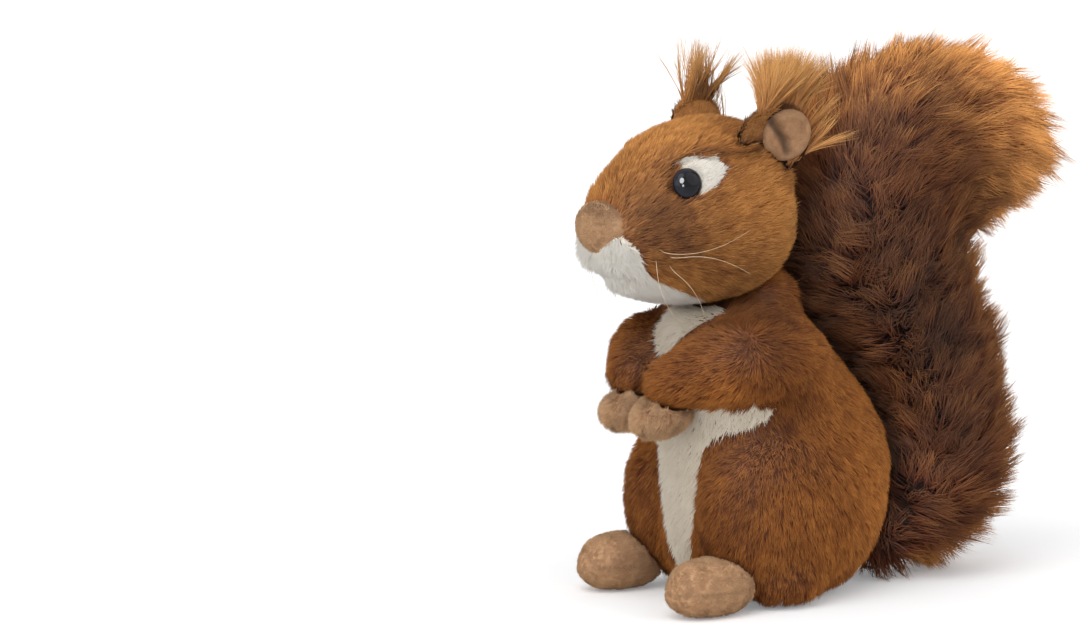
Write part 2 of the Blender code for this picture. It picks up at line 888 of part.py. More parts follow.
def whisker(name, head, row, finish):
    """A fine thread that bows gently and tapers, with its root inside the cheek."""
    (along, up), direction, bow, length = row
    root, normal = surface_at(head, head_point(3, along, up), (-1, 0, 0))
    direction = Vector(direction).normalized()
    side = direction.cross(normal).normalized()
    inner = root - normal * WHISKER_SINK
    clear = root + normal * 0.002
    line = bpy.data.curves.new(name, "CURVE")
    line.dimensions = "3D"
    line.bevel_depth = WHISKER_RADIUS
    line.bevel_resolution = 0
    line.use_fill_caps = True
    thread = line.splines.new("POLY")
    steps = 6
    places = [inner]
    for k in range(steps):
        t = k / (steps - 1)
        spread = normal * 0.004 * t + side * bow * 4 * t * (1 - t)
        places.append(clear + direction * length * t + spread)
    thread.points.add(len(places) - 1)
    for point, place in zip(thread.points, places):
        point.co = (*place, 1.0)
        reach = (place - root).length / length
        point.radius = 1.0 - 0.45 * min(1.0, reach)
    made = bpy.data.objects.new(name, line)
    bpy.context.scene.collection.objects.link(made)
    mesh = evaluated_mesh(made)
    bpy.data.objects.remove(made)
    bpy.data.curves.remove(line)
    hole = turned(
        f"{name}_hole",
        [
            (0, 0.002),
            (WHISKER_RADIUS + SEAM_GAP, 0.002),
            (WHISKER_RADIUS + SEAM_GAP, -WHISKER_SINK - SEAM_GAP),
            (0, -WHISKER_SINK - SEAM_GAP),
        ],
        8,
    )
    cutter = as_cutter(add_object(f"{name}_hole", hole))
    cutter.matrix_world = facing(normal, root)
    return add_object(name, mesh, finish), cutter


# Assembly


def build():
    clear_scene()
    russet = material("russet_plush", RUSSET, 0.95)
    dark = material("tail_plush", DARK_RUSSET, 0.95)
    amber = material("tuft_hair", AMBER, 0.9)
    cream = material("white_plush", CREAM, 0.95)
    tan = material("tan_velour", TAN, 0.9)
    black = material("eye_plastic", EYE_BLACK, 0.06)
    grey = material("washer_plastic", CLEAR_GREY, 0.5)
    straw = material("whisker_thread", STRAW, 0.5)

    body_form, head_form = body_mesh(), head_mesh()
    body_room = as_cutter(add_object("body_room", resized(body_form, SEAM_GAP, "body_room")))
    head_room = as_cutter(add_object("head_room", resized(head_form, SEAM_GAP, "head_room")))

    body = add_object("body", body_form, russet)
    front_panel = inlay(
        "front_panel", body, body_form, front_panel_region(), PANEL_THICKNESS, cream
    )
    for piece in (body, front_panel):
        combine(piece, "DIFFERENCE", head_room)

    head = add_object("head", head_form, russet)
    nose_form = nose_mesh(head_form)
    nose_room = as_cutter(add_object("nose_room", resized(nose_form, SEAM_GAP, "nose_room")))
    add_object("nose", nose_form, tan)
    muzzle = inlay("muzzle", head, head_form, muzzle_region(), PANEL_THICKNESS, cream)
    for piece in (head, muzzle):
        combine(piece, "DIFFERENCE", nose_room)

    # Eyes: the patch is let into the cover, then the dome, stem and washer are seated through it
    eye_place, eye_normal = surface_at(head_form, head_point(3, -0.395, 0.39), (-1, 0, 0))
    stand = facing(eye_normal, eye_place - eye_normal * EYE_DIAMETER * 0.06)
    patch_region = eye_patch_region(eye_place)
    right_region = patch_region.copy()
    right_region.transform(Matrix.Scale(-1, 4, Vector((1, 0, 0))))
    right_region.flip_normals()
    patches = [
        inlay("eye_patch_left", head, head_form, patch_region, PATCH_THICKNESS, cream),
        inlay("eye_patch_right", head, head_form, right_region, PATCH_THICKNESS, cream),
    ]
    flip = Matrix.Scale(-1, 4, Vector((1, 0, 0)))
    eye = turned("eye_form", eye_profile(), EYE_AROUND)
    eye_space = turned("eye_space_form", eye_profile(SEAM_GAP), EYE_AROUND)
    washer_space = washer_mesh("washer_space_form", SEAM_GAP)
    for name, mesh in (("eye_left", eye), ("eye_washer_left", washer_mesh("washer_form"))):
        mesh.transform(stand)
        left = add_object(name, mesh, black if name == "eye_left" else grey)
        mirrored(left, name.replace("left", "right"))
    for side, patch in enumerate(patches):
        for space in (eye_space, washer_space):
            mesh = space.copy()
            mesh.transform(stand)
            if side:
                mesh.transform(flip)
                mesh.flip_normals()
            tool = as_cutter(add_object(f"{space.name}_{side}", mesh))
            combine(head, "DIFFERENCE", tool)
            if space is eye_space:
                combine(patch, "DIFFERENCE", tool)

    # Whiskers in their stitch holes
    for number, row in enumerate(WHISKER_ROWS, start=1):
        thread, hole = whisker(f"whisker_left_{number}", head_form, row, straw)
        mirrored(thread, f"whisker_right_{number}")
        mesh = hole.data.copy()
        mesh.transform(hole.matrix_world)
        mesh.transform(flip)
        mesh.flip_normals()
        other = as_cutter(add_object(f"whisker_right_{number}_hole", mesh))
        for tool in (hole, other):
            combine(head, "DIFFERENCE", tool)
            combine(muzzle, "DIFFERENCE", tool)

    # Ears with their linings and tufts
    ear_form = ear_mesh()
    ear_room = as_cutter(add_object("ear_room", resized(ear_form, SEAM_GAP, "ear_room")))
    ear = add_object("ear_left", ear_form, russet)

    def ear_sunk(depth):
        mesh = ear_form.copy()
        mesh.transform(Matrix.Translation(EAR_TURN @ Vector((-depth, 0, 0))))
        return mesh

    lining = inlay(
        "ear_lining_left",
        ear,
        ear_form,
        ear_lining_region(),
        LINING_THICKNESS,
        tan,
        ear_sunk,
    )
    tuft = add_object("ear_tuft_left", tuft_mesh(), amber)
    combine(tuft, "DIFFERENCE", ear_room)
    for piece in (ear, lining, tuft):
        combine(piece, "DIFFERENCE", head_room)
    for piece in (ear, lining, tuft):
        mirrored(piece, piece.name.replace("left", "right"))

    # Limbs, each cut to sit on the body
    haunch_form = haunch_mesh()
    haunch_room = as_cutter(
        add_object("haunch_room", resized(haunch_form, SEAM_GAP, "haunch_room"))
    )
    haunch = add_object("haunch_left", haunch_form, russet)
    foot = add_object("foot_left", foot_mesh(), tan)
    combine(foot, "DIFFERENCE", haunch_room)

    arm_form = tube("arm_form", arm_spine(), LIMB_AROUND, ARM_RINGS)
    arm_room = as_cutter(add_object("arm_room", resized(arm_form, SEAM_GAP, "arm_room")))
    arm = add_object("arm_left", arm_form, russet)
    paw = add_object("paw_left", paw_mesh(), tan)
    combine(paw, "DIFFERENCE", arm_room)
    for piece in (haunch, foot, arm, paw):
        combine(piece, "DIFFERENCE", body_room)
        mirrored(piece, piece.name.replace("left", "right"))

    # The tail, seated against the back and the nape
    tail = add_object("tail", tail_mesh((body_form, head_form)), dark)
    combine(tail, "DIFFERENCE", body_room)
    combine(tail, "DIFFERENCE", head_room)


build()
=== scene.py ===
# %% [markdown]
# # A sitting plush squirrel, dressed in its pile
#
# The CAD model gives every sewn piece its size and place: the outside of each solid is where
# the tips of the pile lie. Here each piece gets what it really has, which is a knitted cover
# stretched over stuffing, and thousands of fibres that stand in that cover and are combed one
# way. The order is that of a toy maker: the covers first, then the pile, then the velour
# pieces, and the eyes and whiskers last.

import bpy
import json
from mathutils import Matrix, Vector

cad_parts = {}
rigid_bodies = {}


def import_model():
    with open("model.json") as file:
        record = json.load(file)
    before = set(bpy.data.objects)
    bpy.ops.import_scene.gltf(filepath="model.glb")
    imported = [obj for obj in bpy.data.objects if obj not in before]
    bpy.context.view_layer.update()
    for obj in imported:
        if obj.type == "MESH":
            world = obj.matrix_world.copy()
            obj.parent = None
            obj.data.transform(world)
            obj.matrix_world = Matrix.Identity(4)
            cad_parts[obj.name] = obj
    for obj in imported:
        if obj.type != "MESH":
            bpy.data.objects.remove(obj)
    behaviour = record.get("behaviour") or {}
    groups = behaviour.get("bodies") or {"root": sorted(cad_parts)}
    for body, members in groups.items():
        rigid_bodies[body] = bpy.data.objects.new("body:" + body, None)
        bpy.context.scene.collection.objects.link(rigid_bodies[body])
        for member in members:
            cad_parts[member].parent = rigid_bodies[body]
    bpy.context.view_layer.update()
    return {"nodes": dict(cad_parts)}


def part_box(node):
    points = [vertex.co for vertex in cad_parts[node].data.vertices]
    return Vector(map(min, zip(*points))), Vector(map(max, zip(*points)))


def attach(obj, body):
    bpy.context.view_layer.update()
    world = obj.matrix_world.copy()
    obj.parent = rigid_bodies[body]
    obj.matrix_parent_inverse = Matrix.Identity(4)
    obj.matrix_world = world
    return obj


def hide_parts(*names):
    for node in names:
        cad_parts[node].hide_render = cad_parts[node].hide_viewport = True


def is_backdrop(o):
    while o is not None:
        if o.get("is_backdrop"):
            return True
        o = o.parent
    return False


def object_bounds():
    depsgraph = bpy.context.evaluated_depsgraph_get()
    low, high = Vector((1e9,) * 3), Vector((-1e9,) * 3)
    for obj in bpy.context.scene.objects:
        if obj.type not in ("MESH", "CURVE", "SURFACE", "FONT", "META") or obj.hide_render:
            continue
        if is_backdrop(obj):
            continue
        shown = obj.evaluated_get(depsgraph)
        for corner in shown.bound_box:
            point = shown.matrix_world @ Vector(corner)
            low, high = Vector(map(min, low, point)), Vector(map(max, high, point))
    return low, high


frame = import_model()

# %% Modules and one shared unit
import json
import math

import bmesh
import bpy
import numpy as np
from mathutils import Vector
from mathutils.bvhtree import BVHTree

MM = 0.001
bpy.ops.object.select_all(action="DESELECT")


def placed(name, data):
    """A new object in the scene that shows this data."""
    made = bpy.data.objects.new(name, data)
    bpy.context.scene.collection.objects.link(made)
    return made

# %% [markdown]
# ## The camera
#
# The squirrel is seen from its left side, turned a little towards the front and from just
# above the floor. A long lens from 1.6 m away keeps the lines nearly parallel, as in a catalogue
# picture. The camera is aimed beside the toy, so that the toy sits right of the middle without
# any lens shift.

# %% Camera
AZIMUTH, ELEVATION, DISTANCE = math.radians(58), math.radians(8), 1.6
PIXEL = 0.39 * MM
PICTURE_WIDTH, PICTURE_HEIGHT = 1080, 641
SENSOR = 36
SEAT_PIXEL = (721, 594)

to_right = Vector((math.cos(AZIMUTH), math.sin(AZIMUTH), 0))
to_camera = Vector(
    (
        math.sin(AZIMUTH) * math.cos(ELEVATION),
        -math.cos(AZIMUTH) * math.cos(ELEVATION),
        math.sin(ELEVATION),
    )
)
to_top = to_camera.cross(to_right)
aim = to_right * (PICTURE_WIDTH / 2 - SEAT_PIXEL[0]) * PIXEL
aim += to_top * (SEAT_PIXEL[1] - PICTURE_HEIGHT / 2) * PIXEL

lens = bpy.data.cameras.new("studio camera")
lens.sensor_width = SENSOR
lens.lens = SENSOR * DISTANCE / (PICTURE_WIDTH * PIXEL)
camera = placed("studio camera", lens)
camera.location = aim + to_camera * DISTANCE
camera.rotation_mode = "QUATERNION"
camera.rotation_quaternion = to_camera.to_track_quat("Z", "Y")
bpy.context.scene.camera = camera
bpy.context.scene.view_settings.view_transform = "Standard"
print("lens", round(lens.lens, 1), "mm")

# %% [markdown]
# ## Floor and light
#
# A studio sweep is white with only a soft shadow under the toy. Broad suns light the floor
# evenly however far it runs, and two small panels are there for what they do in the eyes: a
# glossy dome shows each lamp as a bright spot. The floor and the world add a little white for
# camera and mirror rays alone, so the background is white and the toy isn't overlit.

# %% Floor, world and lamps
def wire(tree, kind, inputs=None, **settings):
    """Adds one shader node. Each input is a plain value or another node's output."""
    node = tree.nodes.new(kind)
    for name, value in settings.items():
        setattr(node, name, value)
    for name, value in (inputs or {}).items():
        if isinstance(value, bpy.types.NodeSocket):
            tree.links.new(value, node.inputs[name])
        else:
            node.inputs[name].default_value = value
    return node


def maths(tree, operation, *inputs):
    """The result of one step of arithmetic."""
    return wire(tree, "ShaderNodeMath", dict(enumerate(inputs)), operation=operation).outputs[0]


def ranged(tree, value, low=0.0, high=1.0, to_low=0.0, to_high=1.0):
    """A value taken from one range to another and held inside it."""
    ends = {"From Min": low, "From Max": high, "To Min": to_low, "To Max": to_high}
    return wire(tree, "ShaderNodeMapRange", {"Value": value, **ends}).outputs[0]


def mixed(tree, share, first, second):
    """The first colour, turning into the second as the share goes from 0 to 1."""
    inputs = {"Factor": share, "A": first, "B": second}
    return wire(tree, "ShaderNodeMix", inputs, data_type="RGBA").outputs["Result"]


def scaled(tree, colour, level):
    """A colour made darker or paler by a factor."""
    inputs = {0: colour, "Scale": level}
    return wire(tree, "ShaderNodeVectorMath", inputs, operation="SCALE").outputs[0]


def noise(tree, scale, detail=2.0, roughness=0.5, distortion=0.0):
    """A soft noise that is fixed to the piece by its Object coordinates."""
    place = wire(tree, "ShaderNodeTexCoord").outputs["Object"]
    inputs = {"Vector": place, "Scale": scale, "Detail": detail, "Roughness": roughness,
              "Distortion": distortion}
    return wire(tree, "ShaderNodeTexNoise", inputs).outputs["Fac"]


def attribute(tree, name):
    """A number that each point of the piece carries."""
    return wire(tree, "ShaderNodeAttribute", attribute_name=name).outputs["Fac"]


def material_of(name, constants):
    """A material, its node tree and its Principled shader's inputs, some of them set."""
    made = bpy.data.materials.new(name)
    made.use_nodes = True
    inputs = made.node_tree.nodes["Principled BSDF"].inputs
    for label, value in constants.items():
        inputs[label].default_value = value
    return made, made.node_tree, inputs


def seen_directly(tree):
    """1 for a ray that the camera, a mirror or glass sends, and 0 for one that carries light."""
    path = wire(tree, "ShaderNodeLightPath").outputs
    some = maths(tree, "MAXIMUM", path["Is Camera Ray"], path["Is Glossy Ray"])
    return maths(tree, "MAXIMUM", some, path["Is Transmission Ray"])


WORLD_LIGHT, WORLD_SEEN, FLOOR_GLOW = 0.64, 1.0, 0.20
world = bpy.data.worlds.new("white studio")
bpy.context.scene.world = world
world.use_nodes = True
tree = world.node_tree
sky = tree.nodes["Background"].inputs
sky["Color"].default_value = (1.0, 1.0, 1.0, 1.0)
level = ranged(tree, seen_directly(tree), to_low=WORLD_LIGHT, to_high=WORLD_SEEN)
tree.links.new(level, sky["Strength"])

bpy.ops.mesh.primitive_circle_add(vertices=64, radius=9, fill_type="NGON")
floor = bpy.context.active_object
floor.name = "studio_floor"
paper, tree, inputs = material_of("white paper sweep", {
    "Roughness": 0.9, "Specular IOR Level": 0.1, "Emission Color": (0.96, 0.98, 1.0, 1.0)})
grain = wire(tree, "ShaderNodeTexNoise", {"Scale": 3.0, "Detail": 2.0}).outputs["Fac"]
tint = mixed(tree, grain, (0.93, 0.93, 0.93, 1.0), (0.90, 0.905, 0.915, 1.0))
glow = maths(tree, "MULTIPLY", seen_directly(tree), FLOOR_GLOW)
tree.links.new(tint, inputs["Base Color"])
tree.links.new(glow, inputs["Emission Strength"])
floor.data.materials.append(paper)
floor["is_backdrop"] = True


def lamp(name, kind, place, energy, size):
    """A sun, or a panel that only shows in gloss, aimed at the middle of the toy."""
    light = bpy.data.lights.new(name, kind)
    light.energy = energy
    if kind == "SUN":
        light.angle = math.radians(size)
    else:
        light.shape = "DISK"
        light.size = size
    stand = placed(name, light)
    stand.location = place
    stand.rotation_mode = "QUATERNION"
    stand.rotation_quaternion = (Vector(place) - Vector((0, 0, 0.1))).to_track_quat("Z", "Y")
    stand.visible_diffuse = kind == "SUN"


for name, kind, place, energy, size in (
    # a sun's size is its angle in degrees, a panel's is its width in metres
    ("broad key", "SUN", (0.7, -1.1, 2.0), 1.05, 45),
    ("broad fill", "SUN", (1.4, 1.1, 1.3), 0.50, 60),
    ("low front fill", "SUN", (0.3, -1.6, 0.30), 1.15, 60),
    ("eye panel high", "AREA", (1.05, -0.75, 0.95), 55.0, 0.80),
    ("eye panel low", "AREA", (1.25, -0.62, 0.30), 7.0, 0.32),
):
    lamp(name, kind, place, energy, size)
print("stage ready")

# %% [markdown]
# ## Colour that belongs to a fibre
#
# Dyed pile is never one flat colour. Each fibre is darker at its root, painted shade where little
# light comes, and paler at its tip; neighbours differ a little; and whole patches are lighter or
# redder. Each fibre here carries three numbers on its points: tip, from 0 at the root to 1, tone,
# drawn once for each fibre and moved by painted light and shade in some places, and a third for
# how much of the pale tip colour it shows, partly a paler dye and partly painted light. A shader
# group mixes four dyes from them, and a noise on Object coordinates gives the patches.
# It is a group because every pile uses it.

# %% The pile's colour group
def group_of(name, inputs, outputs):
    """An empty shader node group with named inputs and outputs, and the sockets at both ends."""
    made = bpy.data.node_groups.new(name, "ShaderNodeTree")
    for label, kind, value in inputs:
        socket = made.interface.new_socket(label, in_out="INPUT", socket_type=kind)
        socket.default_value = value
    for label, kind in outputs:
        made.interface.new_socket(label, in_out="OUTPUT", socket_type=kind)
    return made, made.nodes.new("NodeGroupInput").outputs, made.nodes.new("NodeGroupOutput").inputs


COLOUR, NUMBER = "NodeSocketColor", "NodeSocketFloat"
GREY = (0.5, 0.5, 0.5, 1.0)
pile_colour, given, wanted = group_of(
    "pile colour",
    [("Root", COLOUR, GREY), ("Middle", COLOUR, GREY), ("Tip", COLOUR, GREY),
     ("Patch", COLOUR, GREY), ("Patch size", NUMBER, 0.02), ("Patch share", NUMBER, 0.5),
     ("Fibre spread", NUMBER, 0.3), ("Turning point", NUMBER, 0.5)],
    [("Color", COLOUR)],
)
tree = pile_colour
along, turn = attribute(tree, "tip"), given["Turning point"]
blotch = noise(tree, maths(tree, "DIVIDE", 1.0, given["Patch size"]), 3.0, 0.6)
spread = ranged(tree, blotch, 0.38, 0.66, to_high=given["Patch share"])
patched = mixed(tree, spread, given["Middle"], given["Patch"])
# the Root dye towards the root is painted shade; the pale tip is partly dye and partly painted
# light
low = mixed(tree, ranged(tree, along, high=turn), given["Root"], patched)
paled = maths(tree, "MULTIPLY", ranged(tree, along, low=turn), attribute(tree, "fade"))
high = mixed(tree, paled, low, given["Tip"])
centred = maths(tree, "SUBTRACT", attribute(tree, "tone"), 0.5)
swing = maths(tree, "MULTIPLY_ADD", centred, given["Fibre spread"], 1.0)
tree.links.new(scaled(tree, high, swing), wanted["Color"])
print("pile colour group with", len(tree.nodes), "nodes")

# %% [markdown]
# ## The finishes made from it
#
# A Principled shader with high roughness and a constant sheen gives the soft light edge that
# pile shows where it turns away. Its sheen and specular level are plain numbers on the shader.

# %% Pile finishes
def dye(colour):
    return (*colour, 1.0)


def pile_finish(name, root, middle, tip, patch, size, share, spread, turn, sheen):
    made, tree, inputs = material_of(name, {
        "Roughness": 0.72, "Specular IOR Level": 0.16, "Sheen Weight": sheen,
        "Sheen Roughness": 0.5, "Sheen Tint": dye(tip)})
    group = wire(tree, "ShaderNodeGroup", {
        "Root": dye(root), "Middle": dye(middle), "Tip": dye(tip), "Patch": dye(patch),
        "Patch size": size, "Patch share": share, "Fibre spread": spread,
        "Turning point": turn}, node_tree=pile_colour)
    tree.links.new(group.outputs["Color"], inputs["Base Color"])
    return made


russet_pile = pile_finish("russet pile", (0.085, 0.022, 0.006), (0.27, 0.080, 0.014),
                          (0.60, 0.235, 0.050), (0.120, 0.027, 0.006), 0.026, 0.95, 0.45, 0.42,
                          0.06)
face_pile_dye = pile_finish("golden face pile", (0.085, 0.024, 0.007), (0.42, 0.155, 0.034),
                            (0.82, 0.390, 0.108), (0.18, 0.045, 0.011), 0.022, 0.8, 0.45, 0.42,
                            0.06)
tail_pile = pile_finish("long tail pile", (0.032, 0.008, 0.004), (0.175, 0.045, 0.014),
                        (0.86, 0.400, 0.115), (0.082, 0.020, 0.008), 0.030, 0.8, 0.8, 0.46, 0.06)
tuft_pile = pile_finish("amber tuft pile", (0.30, 0.11, 0.028), (0.58, 0.26, 0.070),
                        (0.82, 0.46, 0.16), (0.42, 0.16, 0.042), 0.010, 0.6, 0.4, 0.45, 0.3)
muzzle_pile_dye = pile_finish("white muzzle pile", (0.88, 0.80, 0.68), (0.96, 0.91, 0.82),
                              (0.99, 0.96, 0.90), (0.92, 0.85, 0.74), 0.012, 0.5, 0.06, 0.35, 0.2)
bib_pile = pile_finish("ivory bib pile", (0.76, 0.64, 0.49), (0.88, 0.77, 0.62),
                       (0.97, 0.90, 0.78), (0.80, 0.68, 0.52), 0.016, 0.6, 0.10, 0.30, 0.2)
tan_nap = pile_finish("tan velour nap", (0.30, 0.150, 0.070), (0.52, 0.300, 0.155),
                      (0.62, 0.40, 0.23), (0.38, 0.20, 0.10), 0.006, 0.6, 0.25, 0.4, 0.3)
paw_fuzz = pile_finish("rosy paw fuzz", (0.36, 0.180, 0.085), (0.60, 0.345, 0.175),
                       (0.74, 0.49, 0.29), (0.42, 0.215, 0.105), 0.005, 0.6, 0.3, 0.4, 0.35)
print("pile finishes ready")

# %% [markdown]
# ## Cover cloth and velour
#
# Under the pile lies a knitted ground cloth in the pile's dye, made darker than the pile as
# painted shade for the depth it lies at, and nearly black under the tail; it shows only where the
# fibres part. The nose, ear linings, paws and feet are short velour, a cut knit whose nap is felt
# more than seen: fine grain, and strokes where a thumb has brushed it. Both come from one group,
# with a mask for brushed strokes, a painted shade for creases and a fine height that feeds a Bump
# node.

# %% Ground cloth group and its finishes
ground_cloth, given, wanted = group_of(
    "ground cloth",
    [("Base", COLOUR, GREY), ("Brushed", COLOUR, GREY), ("Grain size", NUMBER, 0.0005),
     ("Stroke size", NUMBER, 0.006), ("Crease shade", NUMBER, 0.75)],
    [("Color", COLOUR), ("Height", NUMBER)],
)
tree = ground_cloth
fine = noise(tree, maths(tree, "DIVIDE", 1.0, given["Grain size"]), 2.0, 0.7)
broad = noise(tree, maths(tree, "DIVIDE", 1.0, given["Stroke size"]), 4.0, 0.65, 0.6)
brushed = mixed(tree, ranged(tree, broad, 0.36, 0.66), given["Base"], given["Brushed"])
speck = ranged(tree, fine, 0.2, 0.8, 0.82, 1.16)
# the crease attribute darkens the cloth: painted shade in creases
painted_crease_shade = maths(tree, "MULTIPLY", attribute(tree, "crease"), given["Crease shade"])
level = maths(tree, "MULTIPLY", speck, maths(tree, "SUBTRACT", 1.0, painted_crease_shade))
tree.links.new(scaled(tree, brushed, level), wanted["Color"])
tree.links.new(fine, wanted["Height"])


def cloth_finish(name, base, brushed, grain=0.0007, strokes=0.01, relief=0.0002, sheen=0.1):
    made, tree, inputs = material_of(name, {
        "Roughness": 0.85, "Specular IOR Level": 0.2, "Sheen Weight": sheen,
        "Sheen Roughness": 0.55, "Sheen Tint": dye(brushed)})
    group = wire(tree, "ShaderNodeGroup", {
        "Base": dye(base), "Brushed": dye(brushed), "Grain size": grain,
        "Stroke size": strokes}, node_tree=ground_cloth)
    bump = wire(tree, "ShaderNodeBump", {"Height": group.outputs["Height"], "Strength": 0.6,
                "Distance": relief})
    tree.links.new(group.outputs["Color"], inputs["Base Color"])
    tree.links.new(bump.outputs["Normal"], inputs["Normal"])
    return made


# the grounds are darker than their piles: painted shade for the depth under the pile
russet_ground = cloth_finish("russet ground cloth", (0.160, 0.048, 0.012), (0.21, 0.066, 0.017))
flap_ground = cloth_finish("ear ground cloth", (0.23, 0.080, 0.020), (0.30, 0.110, 0.030))
tail_ground = cloth_finish("tail ground cloth", (0.028, 0.009, 0.005), (0.045, 0.013, 0.007))
white_ground = cloth_finish("white ground cloth", (0.70, 0.62, 0.52), (0.78, 0.70, 0.60))
tan_velour = cloth_finish("tan velour", (0.40, 0.215, 0.105), (0.55, 0.32, 0.17),
                          0.0005, 0.007, 0.00025, 0.35)
lining_velour = cloth_finish("ear lining velour", (0.25, 0.125, 0.058), (0.38, 0.205, 0.100),
                             0.0005, 0.006, 0.00025, 0.35)
print("cloth finishes ready")

# %% [markdown]
# ## Covers from the CAD solids
#
# A voxel remesh turns copies of the CAD nodes into one even skin and closes the hairline seams
# between them. The Smooth modifier then takes out the flats, as stuffing does, and a Displace
# modifier draws the skin in by the depth of its pile. What is left is the cover itself, and the
# pile that grows out of it ends where the CAD surface is.

# %% Helpers for covers
def only(piece):
    """Selects one object and makes it active."""
    bpy.ops.object.select_all(action="DESELECT")
    piece.select_set(True)
    bpy.context.view_layer.objects.active = piece


def applied(piece, kind, **settings):
    """Adds one modifier with its settings and applies it at once."""
    only(piece)
    modifier = piece.modifiers.new(kind.lower(), kind)
    for name, value in settings.items():
        setattr(modifier, name, value)
    bpy.ops.object.modifier_apply(modifier=modifier.name)
    return piece


def copy_of(name, *nodes):
    """One new object that holds copies of CAD nodes, with their loose triangles welded."""
    bpy.ops.object.select_all(action="DESELECT")
    for node in nodes:
        twin = placed(name, frame["nodes"][node].data.copy())
        twin.select_set(True)
        bpy.context.view_layer.objects.active = twin
    if len(nodes) > 1:
        bpy.ops.object.join()
    piece = bpy.context.view_layer.objects.active
    piece.name = name
    bpy.ops.object.mode_set(mode="EDIT")
    bpy.ops.mesh.select_all(action="SELECT")
    bpy.ops.mesh.remove_doubles(threshold=0.01 * MM)
    bpy.ops.object.mode_set(mode="OBJECT")
    bpy.ops.mesh.customdata_custom_splitnormals_clear()
    return piece


def evened(piece, voxel, rounds):
    """An even, smooth skin over the whole piece."""
    applied(piece, "REMESH", mode="VOXEL", voxel_size=voxel, use_smooth_shade=True)
    applied(piece, "SMOOTH", factor=0.5, iterations=rounds)
    return piece


def drawn_in(piece, depth, rounds=4):
    """The same skin, deeper by that much all over."""
    applied(piece, "DISPLACE", direction="NORMAL", mid_level=0.0, strength=-depth)
    applied(piece, "SMOOTH", factor=0.5, iterations=rounds)
    return piece


def largest_part(piece):
    """Deletes what isn't joined to the piece's biggest part."""
    made = bmesh.new()
    made.from_mesh(piece.data)
    waiting, parts = set(made.verts), []
    while waiting:
        edge = [waiting.pop()]
        part = set(edge)
        while edge:
            point = edge.pop()
            for line in point.link_edges:
                other = line.other_vert(point)
                if other in waiting:
                    waiting.remove(other)
                    part.add(other)
                    edge.append(other)
        parts.append(part)
    largest = max(parts, key=len)
    gone = [point for point in made.verts if point not in largest]
    bmesh.ops.delete(made, geom=gone, context="VERTS")
    made.to_mesh(piece.data)
    made.free()
    return piece


def reshaped(piece, points):
    """Gives a piece its new points, none of them under the floor."""
    points[:, 2] = np.maximum(points[:, 2], 0.2 * MM)
    piece.data.vertices.foreach_set("co", points.reshape(-1).astype(np.float32))
    piece.data.update()
    return piece


def marked(piece, label, values):
    """Keeps one number for each point, which a material reads by its label."""
    field = piece.data.attributes.new(label, "FLOAT", "POINT")
    field.data.foreach_set("value", values.astype(np.float32))
    return piece


def creased(piece, amount):
    """Keeps how much each point's cloth is darkened, mostly painted shade in creases."""
    return marked(piece, "crease", np.clip(amount, 0, 1))


def settled(piece, finish, replaces=()):
    """Says what a finished piece is made of, rides on and stands for."""
    piece.data.materials.clear()
    piece.data.materials.append(finish)
    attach(piece, "root")
    reshaped(piece, arrays_of(piece)[0])
    if replaces:
        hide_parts(*replaces)
    return piece


def read(items, label, kind):
    """Three numbers for each item of a mesh, as the rows of an array."""
    values = np.empty(len(items) * 3, kind)
    items.foreach_get(label, values)
    return values.reshape(-1, 3)


def arrays_of(piece):
    """Points, triangles and point normals of a mesh, as arrays."""
    mesh = piece.data
    mesh.calc_loop_triangles()
    points, normals = (read(mesh.vertices, label, np.float32) for label in ("co", "normal"))
    triangles = read(mesh.loop_triangles, "vertices", np.int32)
    return points.astype(float), triangles, normals.astype(float)


def tree_of(piece):
    points, faces, _ = arrays_of(piece)
    return BVHTree.FromPolygons(points.tolist(), faces.tolist())


node_tree = {name: tree_of(node) for name, node in frame["nodes"].items()}
print("search trees for", len(node_tree), "nodes")

# %% [markdown]
# ## How a pile is planted
#
# Blender's own hair system would do this on screen, but hair is no mesh and wouldn't leave the
# program with the model. So each fibre lock is a thin three-sided spike of real faces: short
# pile has one length from root to tip, the tail's bends over two and the tufts' over three. Roots
# are scattered by area over the cover. A comb, which is a direction for every place, says where
# the pile lies, and the lift says how far it stands up. Point normals are blended towards the
# cover's own, so a pile catches light as a soft surface does instead of glittering.

# %% Scattering and planting
def unit(vectors):
    return vectors / np.maximum(np.linalg.norm(vectors, axis=1, keepdims=True), 1e-9)


def scattered(cover, count, rng):
    """Random places on a cover, evenly by area, with the cover's normals there."""
    points, faces, normals = arrays_of(cover)
    a, b, c = (points[faces[:, k]] for k in range(3))
    area = np.linalg.norm(np.cross(b - a, c - a), axis=1)
    chosen = rng.choice(len(faces), size=count, p=area / area.sum())
    u, v = rng.random((2, count))
    over = u + v > 1
    u[over], v[over] = 1 - u[over], 1 - v[over]
    share = np.stack([1 - u - v, u, v], axis=1)[:, :, None]
    places = (points[faces[chosen]] * share).sum(axis=1)
    return places, unit((normals[faces[chosen]] * share).sum(axis=1))


def nearest_node(places, nodes):
    """For each place, which of these CAD nodes is nearest, as a number in their order."""
    found = np.empty(len(places), int)
    for k, place in enumerate(places.tolist()):
        gaps = [node_tree[node].find_nearest(place)[3] for node in nodes]
        found[k] = gaps.index(min(gaps))
    return found


def least_gap(places, nodes):
    """Each place's distance to the nearest of some nodes."""
    return np.array([min(node_tree[node].find_nearest(place)[3] for node in nodes)
                     for place in places.tolist()])


def inside_any(places, nodes, margin=0.0):
    """Which places lie deeper than the margin inside one of these CAD nodes."""
    found = np.zeros(len(places), bool)
    ray = Vector((0.31, 0.22, 0.93)).normalized()
    for k, place in enumerate(places.tolist()):
        for node in nodes:
            spot, normal, _, _ = node_tree[node].ray_cast(place, ray)
            if spot is not None and normal.dot(ray) > 0:
                if node_tree[node].find_nearest(place)[3] > margin:
                    found[k] = True
                    break
    return found


